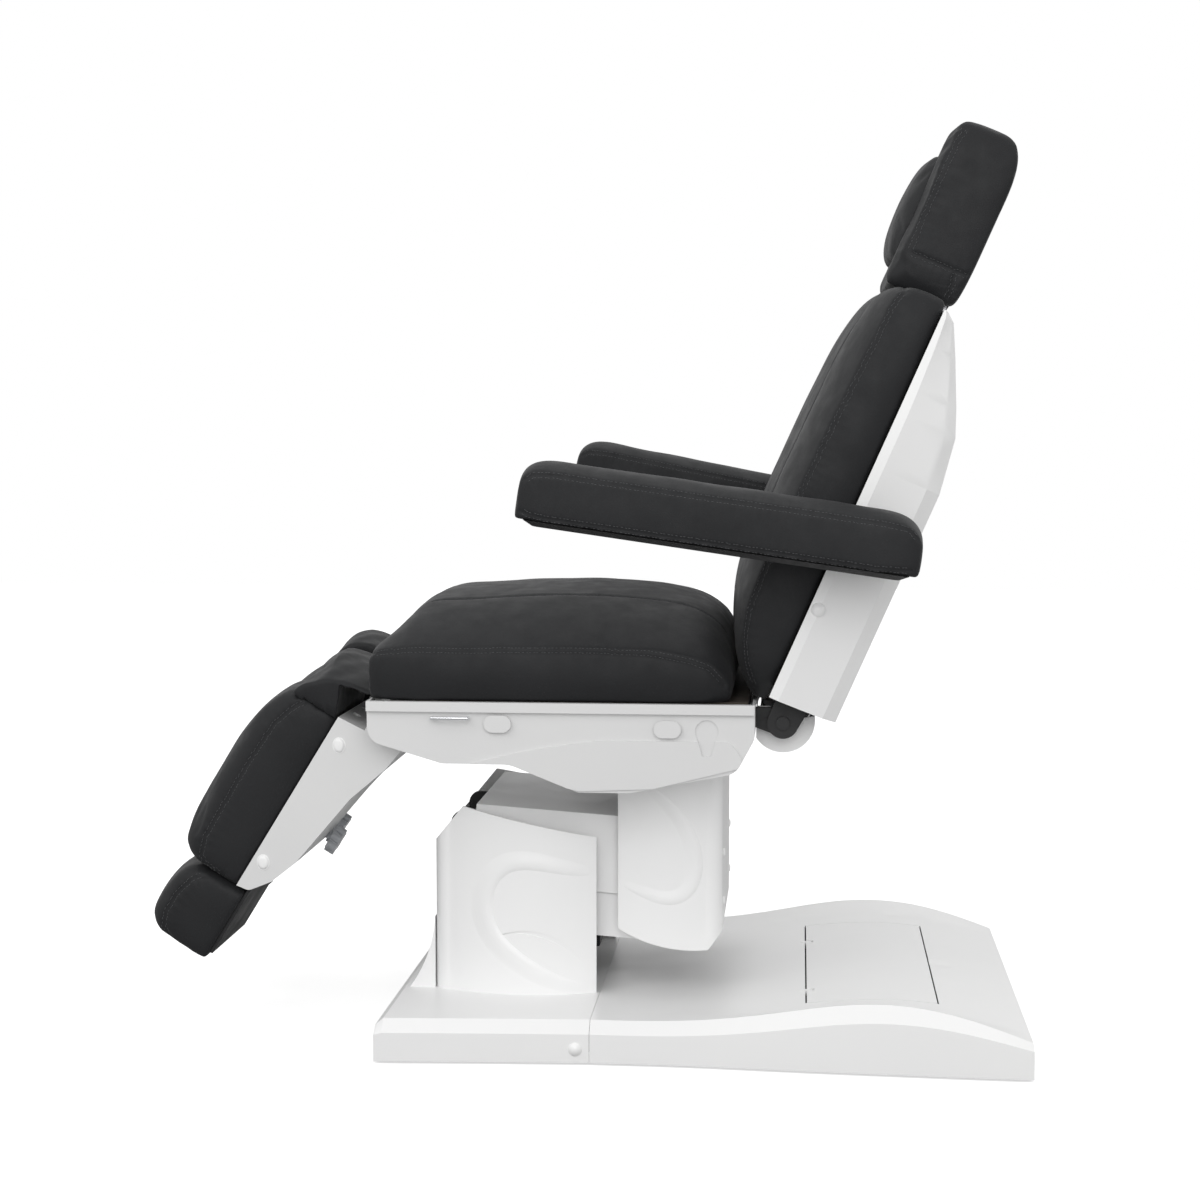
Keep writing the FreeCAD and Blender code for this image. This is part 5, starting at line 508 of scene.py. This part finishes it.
def stitches(name, body, paths, bvh):
    """Rows of thread dashes beside each seam."""
    bm = bmesh.new()
    for path in paths:
        spots, normals = laid(path, bvh, STITCH_STEP)
        steps = lengths_along(spots)
        if steps[-1] < SHORT_SEAM:
            continue
        for side in (-1, 1):
            for s in np.arange(STITCH_END, steps[-1] - STITCH_END, STITCH_PITCH):
                i = int(np.searchsorted(steps, s))
                i = min(max(i, REACH), len(spots) - REACH - 1)
                along = spots[i + REACH] - spots[i - REACH]
                size = np.linalg.norm(along)
                if size < 1e-6:
                    continue
                along /= size
                out = normals[i] / max(np.linalg.norm(normals[i]), TINY)
                middle = spots[i] + np.cross(along, out) * side * STITCH_ASIDE
                hit, out_hit, _, _ = bvh.find_nearest(Vector(middle))
                out = np.array(out_hit)
                dash(bm, np.array(hit) + out * STITCH_RISE, along, out, STITCH_LENGTH, STITCH_RADIUS)
    finished(bm, name, THREAD, body)


# ends and belly of a stitch: place along it and share of its radius
DASH_RINGS = ((-0.5, 0.25), (-0.3, 0.9), (0.3, 0.9), (0.5, 0.25))
DASH_DIP = 0.3
QUARTERS = (0, math.pi / 2, math.pi, 1.5 * math.pi)


def dash(bm, middle, along, out, length, radius):
    """One stitch: a low, bowed bead."""
    over = np.cross(along, out)
    rings = []
    for t, r in DASH_RINGS:
        centre = middle + along * length * t - out * radius * (DASH_DIP if abs(t) > 0.4 else 0)
        rings.append([bm.verts.new(centre + radius * r * (over * math.cos(a) + out * math.sin(a)))
                      for a in QUARTERS])
    for a, b in zip(rings[:-1], rings[1:]):
        for i in range(4):
            bm.faces.new((a[i], a[(i + 1) % 4], b[(i + 1) % 4], b[i]))
    bm.faces.new(rings[0][::-1])
    bm.faces.new(rings[-1])


# Frames of the backrest, leg rests and armrests, in millimetres

BACK = math.radians(66.2)
BACK_X, BACK_Z = 96, 518
KNEE_X, KNEE_Z = -440, 455
ARM_U, ARM_N = 243, -44
LEG_DROP = {"left": math.radians(58.4), "right": math.radians(55.4)}
ARM_TIP = {"left": math.radians(8.2), "right": math.radians(11.2)}
LEG_INNER, LEG_MIDDLE, LEG_OUTER = 18, 124, 230
ARM_INNER, ARM_OUTER = 312, 412


def on_back(u, y, n):
    """Point of the backrest frame in the part's frame."""
    return (BACK_X + u * math.cos(BACK) - n * math.sin(BACK), y, BACK_Z + u * math.sin(BACK) + n * math.cos(BACK))


def on_leg(side, s, y, n):
    """Point of one side's leg frame in the part's frame."""
    turn = LEG_DROP[side]
    return (KNEE_X + s * math.cos(turn) - n * math.sin(turn), y, KNEE_Z + s * math.sin(turn) + n * math.cos(turn))


def on_arm(side, s, y, n):
    """Point of one side's armrest frame in the part's frame."""
    turn = ARM_TIP[side]
    x, _, z = on_back(ARM_U, 0, ARM_N)
    return (x + s * math.cos(turn) + n * math.sin(turn), y, z - s * math.sin(turn) + n * math.cos(turn))


def both_sides(*paths):
    """Each path and its mirror."""
    return [run for path in paths for run in (path, [(x, -y, z) for x, y, z in path])]


def back_warp(co, change):
    """Moves vertices in the backrest frame: change takes and gives (u, n) in millimetres."""
    dx = co[:, 0] / MM - BACK_X
    dz = co[:, 2] / MM - BACK_Z
    u, n = change(dx * math.cos(BACK) + dz * math.sin(BACK), dz * math.cos(BACK) - dx * math.sin(BACK))
    moved = co.copy()
    moved[:, 0] = (BACK_X + u * math.cos(BACK) - n * math.sin(BACK)) * MM
    moved[:, 2] = (BACK_Z + u * math.sin(BACK) + n * math.cos(BACK)) * MM
    return moved


def head_shape(co):
    """Squarer lower front edge that reaches the backrest, slightly taller top."""
    def change(u, n):
        low = np.clip((608 - u) / 26, 0, 1)
        front = np.clip((n - 20) / 45, 0, 1)
        fuller = np.where(n > 20, np.minimum(86, 20 + (n - 20) * (1 + 0.45 * low)), n)
        return u - 9 * low * front + 5 * np.clip((u - 740) / 80, 0, 1), np.maximum(n, fuller)
    return back_warp(co, change)


def pillow_shape(co):
    """Pillow set a little higher and shorter on the headrest."""
    return back_warp(co, lambda u, n: (614 + (u - 584) * 0.91, n))


# Seams: points of the part's frame, or (along, out) in the frame of a moving piece

SEAT_SIDE = [(-466, -270, 560), (-455, -284, 564), (-434, -288, 567), (-230, -290, 569), (-147, -290, 570),
             (-72, -290, 566), (-16, -288, 555), (10, -284, 545), (30, -276, 522)]
SEAT_FRONT = [(-466, -270, 560), (-468, -200, 561), (-469, 0, 562), (-468, 200, 561), (-466, 270, 560)]
SEAT_CORNER = [(-468, -272, 498), (-467, -272, 530), (-466, -270, 560)]
SEAT_CHANNEL = [(-466, -150, 562), (-440, -150, 592), (-400, -150, 618), (-300, -150, 632), (-60, -150, 624),
                (0, -150, 606), (25, -150, 585)]
BACK_SIDE = [on_back(u, -y, n) for u, y, n in (
    (-14, 262, 26), (10, 270, 40), (40, 278, 62), (84, 284, 75), (154, 285, 79), (264, 285, 77), (340, 285, 75),
    (484, 285, 69), (546, 280, 67), (568, 270, 56))]
BACK_CHANNEL = [on_back(u, -157, n) for u, n in (
    (-20, 24), (0, 50), (40, 76), (84, 92), (150, 106), (300, 110), (450, 106), (530, 96), (560, 80), (574, 58))]
BACK_TOP = [on_back(568, y, 58) for y in (-270, -200, 0, 200, 270)]
HEAD_SIDE = [(358, -147, 1298), (330, -147, 1235), (305, -147, 1180), (282, -147, 1122)]
HEAD_CROSS = [(282, -147, 1122), (300, -147, 1114), (349, -147, 1093), (364, -147, 1088)]
HEAD_LOW = [(347, -147, 1093), (337, -147, 1052)]
LEG_SEAM = ((-325, 100), (-324, 128), (-312, 141), (-285, 149), (-160, 151), (-95, 148), (-60, 138), (-38, 126))
LEG_END, LEG_END_OUT, LEG_END_ACROSS = -38, 140, (24, 60, 190, 224)
FOOT_SEAM = ((-441, 120), (-432, 134), (-410, 142), (-380, 142), (-348, 134), (-333, 122))
ARM_TOP_SEAM = ((-476, 18), (-462, 25), (-430, 28), (-200, 28), (0, 28), (40, 26), (54, 16))
ARM_LOW_SEAM = ((-474, -26), (-440, -30), (-200, -30), (0, -31), (50, -28))

BACK_UNDER = (math.sin(BACK), 0, -math.cos(BACK))
cushion("seat_cushion", "seat", both_sides(SEAT_SIDE) + [SEAT_FRONT] + both_sides(SEAT_CORNER, SEAT_CHANNEL))
cushion("backrest_cushion", "backrest", both_sides(BACK_SIDE, BACK_CHANNEL) + [BACK_TOP], down=BACK_UNDER)
cushion("headrest_cushion", "headrest", both_sides(HEAD_SIDE, HEAD_CROSS, HEAD_LOW), voxel=5.0, down=BACK_UNDER,
        shape=head_shape)
cushion("headrest_pillow", "headrest", [], voxel=4.0, down=BACK_UNDER, shape=pillow_shape)

for side, sign in SIDES:
    drop, tip = LEG_DROP[side], ARM_TIP[side]
    leg_under = (math.sin(drop), 0, -math.cos(drop))
    edges = (LEG_INNER * sign, LEG_OUTER * sign)
    leg_seams = [[on_leg(side, s, y, n) for s, n in LEG_SEAM] for y in edges]
    leg_seams.append([on_leg(side, LEG_END, y * sign, LEG_END_OUT) for y in LEG_END_ACROSS])
    foot_seams = [[on_leg(side, s, y, n) for s, n in FOOT_SEAM] for y in edges]
    arm_seams = [[on_arm(side, s, y * sign, n) for s, n in seam]
                 for y in (ARM_INNER, ARM_OUTER) for seam in (ARM_TOP_SEAM, ARM_LOW_SEAM)]
    cushion(side + "_leg_cushion", side + "_leg", leg_seams, voxel=5.0, down=leg_under)
    cushion(side + "_foot_cushion", side + "_foot", foot_seams, voxel=4.0, down=leg_under)
    cushion(side + "_arm_pad", side + "_arm", arm_seams, voxel=4.0, cap=3.0, groove=1.4, width=3.0,
            down=(-math.sin(tip), 0, -math.cos(tip)))


# Soft flaps between the leg rests and the seat


# how far the leather stands over the solid, by X, at the middle and the outer edge of a flap
FLAP_MIDDLE = {"left": ((-588, -563, -551, -538, -478), (-8, -18, -12, 0, 0)),
               "right": ((-588, -560, -516, -478), (12, 8, 4, 0))}
FLAP_OUTER = {"left": ((-588, -555, -514, -500, -484), (-4, -8, -8, -9, -15)),
              "right": ((-588, -555, -514, -500, -484), (6, 2, 0, -4, -10))}
FLAP_VOXEL = 4.0
# X where the padding at the leg cushion ends, and X where the flap reaches into the seat cushion
FLAP_WALL, FLAP_SEAT = (-525, -518), (-500, -478)
FLAP_THIN, FLAP_REACH = 7 * MM, 8 * MM
# height over the leg frame of the upper and lower edge of the leg cushion's end
END_HIGH, END_LOW = 151, 50


def flap_cover(side):
    """Padded leather bridge that bends between a leg rest and the seat."""
    flap = link(side + "_leg_flap_cover", nodes[side + "_leg_flap"].data.copy(), LEATHER)
    remeshed(flap, FLAP_VOXEL, 3)
    subdivided(flap)
    co = points_of(flap.data)
    fold = np.sin(co[:, 1] * 95 + 6 * np.sin(co[:, 0] * 30)) * np.sin((co[:, 0] + 0.59) * 26)
    push = (0.4 + 0.7 * fold) * MM
    normal = normals_of(flap.data)
    co = co + normal * push[:, None]
    along, across = co[:, 0] / MM, np.abs(co[:, 1]) / MM
    middle = np.interp(across, (LEG_INNER, LEG_MIDDLE, LEG_OUTER), (0, 1, 0))
    outer = np.interp(across, (LEG_MIDDLE, LEG_OUTER), (0, 1))
    bend = middle * np.interp(along, *FLAP_MIDDLE[side]) + outer * np.interp(along, *FLAP_OUTER[side])
    co[:, 2] += bend * MM
    # the underside thins to a sheet over the gap and is padded down to the end of the leg cushion
    high, low = on_leg(side, LEG_END, 0, END_HIGH), on_leg(side, LEG_END, 0, END_LOW)
    face = np.interp(along, (high[0], low[0]), (high[2], low[2])) * MM
    under = np.clip(-1.5 * normal[:, 2], 0, 1)
    leg_part = np.interp(along, FLAP_WALL, (1, 0))
    co[:, 2] += under * (leg_part * np.minimum(face - co[:, 2], 0) + (1 - leg_part) * FLAP_THIN)
    co[:, 0] += FLAP_REACH * np.interp(along, FLAP_SEAT, (0, 1))
    move_points(flap, co)
    soft_shaded(flap.data)
    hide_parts(side + "_leg_flap")
    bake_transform(flap)


for side, sign in SIDES:
    flap_cover(side)


# Small trim that the shells carry


# share of the radius and of the rise, from the shadow ring to the crown
CAP_PROFILE = ((1.18, 0.02), (1.12, 0.10), (1.04, 0.02), (1.0, 0.05), (0.97, 0.45), (0.88, 0.80), (0.60, 0.97),
               (0.25, 1.0))
CAP_SIDES = 36


def screw_cap(name, body, place, out, radius, rise, stretch=1.0):
    """Low domed cap with a shadow ring, standing on a shell: place in the part's frame."""
    bm = bmesh.new()
    out = Vector(out)
    up = Vector((0, 0, 1))
    over = out.cross(up)
    centre = Vector(place) * MM
    rings = []
    for ring_share, height in CAP_PROFILE:
        ring = []
        for step in range(CAP_SIDES):
            a = 2 * math.pi * step / CAP_SIDES
            flat = over * (math.cos(a) * radius) + up * (math.sin(a) * radius * stretch)
            ring.append(bm.verts.new(centre + (flat * ring_share + out * (height * rise)) * MM))
        rings.append(ring)
    for a, b in zip(rings[:-1], rings[1:]):
        for i in range(CAP_SIDES):
            j = (i + 1) % CAP_SIDES
            bm.faces.new((a[i], a[j], b[j], b[i]))
    bm.faces.new(rings[-1])
    finished(bm, name, WHITE, body)


LEG_CAPS, LEG_CAP_R, LEG_CAP_RISE, LEG_CAP_STRETCH = ((-68, 52), (-272, 58)), 8, 3.5, 1.25
RISER_CAPS, RISER_CAP_Y, RISER_CAP_R, RISER_CAP_RISE = ((24, 259), (24, 188)), 120, 6, 3.0
for side, sign in SIDES:
    for index, (s, n) in enumerate(LEG_CAPS):
        screw_cap(side + "_leg_screw_cap_%d" % index, side + "_leg", on_leg(side, s, LEG_OUTER * sign, n), (0, sign, 0),
                  LEG_CAP_R, LEG_CAP_RISE, LEG_CAP_STRETCH)
    for index, (x, z) in enumerate(RISER_CAPS):
        screw_cap(side + "_riser_screw_%d" % index, "seat", (x, sign * RISER_CAP_Y, z), (1, 0, 0),
                  RISER_CAP_R, RISER_CAP_RISE)


RIB_STEP, RIB_COLUMNS, RIB_EVEN = 4, 13, 9
RIB_CREST, RIB_SINK, RIB_FAR = 0.3, 0.15, 0.6


def moulded_rib(name, body, node, path, wide, rise, side):
    """Soft moulded rib on the side of a cover: path of X and Z in millimetres, tapering to nothing at its ends."""
    bvh = tree_of(baked(nodes[node]))
    raw = np.array(path, float)
    steps = lengths_along(raw)
    count = int(steps[-1] / RIB_STEP)
    spots = np.linspace(0, steps[-1], count)
    line = np.stack([np.interp(spots, steps, raw[:, k]) for k in (0, 1)], axis=1)
    half = RIB_EVEN // 2
    for k in (0, 1):
        line[half:-half, k] = np.convolve(line[:, k], np.ones(RIB_EVEN) / RIB_EVEN, "valid")
    along = np.gradient(line, axis=0)
    along /= np.linalg.norm(along, axis=1, keepdims=True)
    over = np.stack([along[:, 1], -along[:, 0]], axis=1)
    shares = np.linspace(0, 1, RIB_COLUMNS)
    bm = bmesh.new()
    rows = []
    for i in range(count):
        taper = math.sin(math.pi * (i / (count - 1))) ** 0.5
        row = []
        for share in shares:
            x, z = (line[i] + over[i] * (share - RIB_CREST) * wide * (0.4 + 0.6 * taper)) * MM
            hit, normal, _, _ = bvh.ray_cast(Vector((x, side * RIB_FAR, z)), Vector((0, -side, 0)))
            if hit is None:
                row.append(None)
                continue
            swell = math.sin(math.pi * share ** 0.6) ** 1.5 * taper
            row.append(bm.verts.new(hit + normal * ((rise * swell - RIB_SINK) * MM)))
        rows.append(row)
    for a, b in zip(rows[:-1], rows[1:]):
        for k in range(RIB_COLUMNS - 1):
            corners = (a[k], a[k + 1], b[k + 1], b[k])
            if None not in corners:
                bm.faces.new(corners)
    bmesh.ops.recalc_face_normals(bm, faces=bm.faces)
    finished(bm, name, WHITE, body)


PANEL_LOW, PANEL_HIGH = (-228, -147, 57), (-152.6, 147, 59.6)


def floor_panel():
    """White panel that closes the base behind the column cover."""
    bm = bmesh.new()
    bmesh.ops.create_cube(bm, size=1)
    for vert in bm.verts:
        vert.co = Vector([(low + (place + 0.5) * (high - low)) * MM
                          for low, high, place in zip(PANEL_LOW, PANEL_HIGH, vert.co)])
    finished(bm, "column_floor_panel", WHITE, "base", smooth=False)


floor_panel()
COLUMN_RIB = ((-166, 236), (-194, 240), (-240, 250), (-268, 252), (-292, 244), (-310, 222), (-317, 192), (-312, 160),
              (-292, 132), (-255, 104), (-223, 86), (-190, 74), (-168, 68))
COLUMN_RIB_WIDE, COLUMN_RIB_RISE = 34, 3.4
RISER_RIB = ((-82, 362), (-56, 344), (-28, 312), (-12, 272), (-10, 236), (-24, 206), (-52, 196), (-90, 208),
             (-118, 220))
RISER_RIB_WIDE, RISER_RIB_RISE = 26, 2.2
for side, sign in SIDES:
    moulded_rib(side + "_column_rib", "base", "column_front_cover", COLUMN_RIB, COLUMN_RIB_WIDE, COLUMN_RIB_RISE, sign)
    moulded_rib(side + "_riser_rib", "seat", "column_rear_cover", RISER_RIB, RISER_RIB_WIDE, RISER_RIB_RISE, sign)


# Floor, light and camera

FLOOR_HALF, FLOOR_DROP = 9, 0.5 * MM
FLOOR_GLOW, BOUNCE_GREY = 0.6, 0.38
WORLD_LIGHT = 0.77
WHITE_LIGHT = (1, 1, 1, 1)


def by_camera_ray(tree, seen, lighting, output):
    """Shows one shader to the camera and lights the object with another."""
    rays = tree.nodes.new("ShaderNodeLightPath")
    mix = tree.nodes.new("ShaderNodeMixShader")
    tree.links.new(rays.outputs["Is Camera Ray"], mix.inputs[0])
    tree.links.new(lighting.outputs[0], mix.inputs[1])
    tree.links.new(seen.outputs[0], mix.inputs[2])
    tree.links.new(mix.outputs[0], tree.nodes[output].inputs["Surface"])


def pale_floor():
    """White with a faint shadow to the camera, duller to the light that bounces up."""
    mat, tree, bsdf = shader("floor", (0.8, 0.8, 0.8), 0.9)
    bsdf.inputs["Emission Color"].default_value = WHITE_LIGHT
    bsdf.inputs["Emission Strength"].default_value = FLOOR_GLOW
    bsdf.inputs["Specular IOR Level"].default_value = 0
    dull = tree.nodes.new("ShaderNodeBsdfDiffuse")
    dull.inputs["Color"].default_value = (BOUNCE_GREY, BOUNCE_GREY, BOUNCE_GREY, 1)
    by_camera_ray(tree, bsdf, dull, "Material Output")
    return mat


floor_mesh = bpy.data.meshes.new("floor")
floor_mesh.from_pydata([(x * FLOOR_HALF, y * FLOOR_HALF, 0) for x, y in ((-1, -1), (1, -1), (1, 1), (-1, 1))], [],
                       [(0, 1, 2, 3)])
floor = link("floor", floor_mesh, pale_floor())
floor.location.z = -FLOOR_DROP


def studio_world():
    """White to the camera, a softer even light to the object."""
    world = bpy.data.worlds.new("studio")
    world.use_nodes = True
    tree = world.node_tree
    light = tree.nodes["Background"]
    light.inputs["Color"].default_value = WHITE_LIGHT
    light.inputs["Strength"].default_value = WORLD_LIGHT
    backdrop = tree.nodes.new("ShaderNodeBackground")
    backdrop.inputs["Color"].default_value = WHITE_LIGHT
    by_camera_ray(tree, backdrop, light, "World Output")
    return world


scene.world = studio_world()
scene.view_settings.view_transform = "Standard"


def softbox(name, place, aim, size, power):
    """Square area light aimed at a point."""
    data = bpy.data.lights.new(name, "AREA")
    data.shape = "SQUARE"
    data.size = size
    data.energy = power
    lamp = bpy.data.objects.new(name, data)
    scene.collection.objects.link(lamp)
    lamp.location = place
    lamp.rotation_euler = (Vector(aim) - Vector(place)).to_track_quat("-Z", "Y").to_euler()


softbox("key", place=(-2.0, -2.4, 2.8), aim=(0, 0, 0.6), size=2.2, power=20)
softbox("front", place=(0.4, -4.4, 2.2), aim=(0, 0, 0.4), size=3.0, power=64)
softbox("top", place=(0.2, 0.2, 3.4), aim=(0, 0, 0.4), size=2.6, power=8)

SENSOR, LENS = 36, 65.73
CAMERA_PLACE = (0.131, -3.280, 0.868)
CAMERA_YAW, CAMERA_PITCH = math.radians(5.2), math.radians(4.36)
camera_data = bpy.data.cameras.new("camera")
camera_data.sensor_width = SENSOR
camera_data.lens = LENS
camera = bpy.data.objects.new("camera", camera_data)
scene.collection.objects.link(camera)
camera.location = CAMERA_PLACE
level = math.cos(CAMERA_PITCH)
look = Vector((-math.sin(CAMERA_YAW) * level, math.cos(CAMERA_YAW) * level, -math.sin(CAMERA_PITCH)))
camera.rotation_euler = look.to_track_quat("-Z", "Y").to_euler()
scene.camera = camera
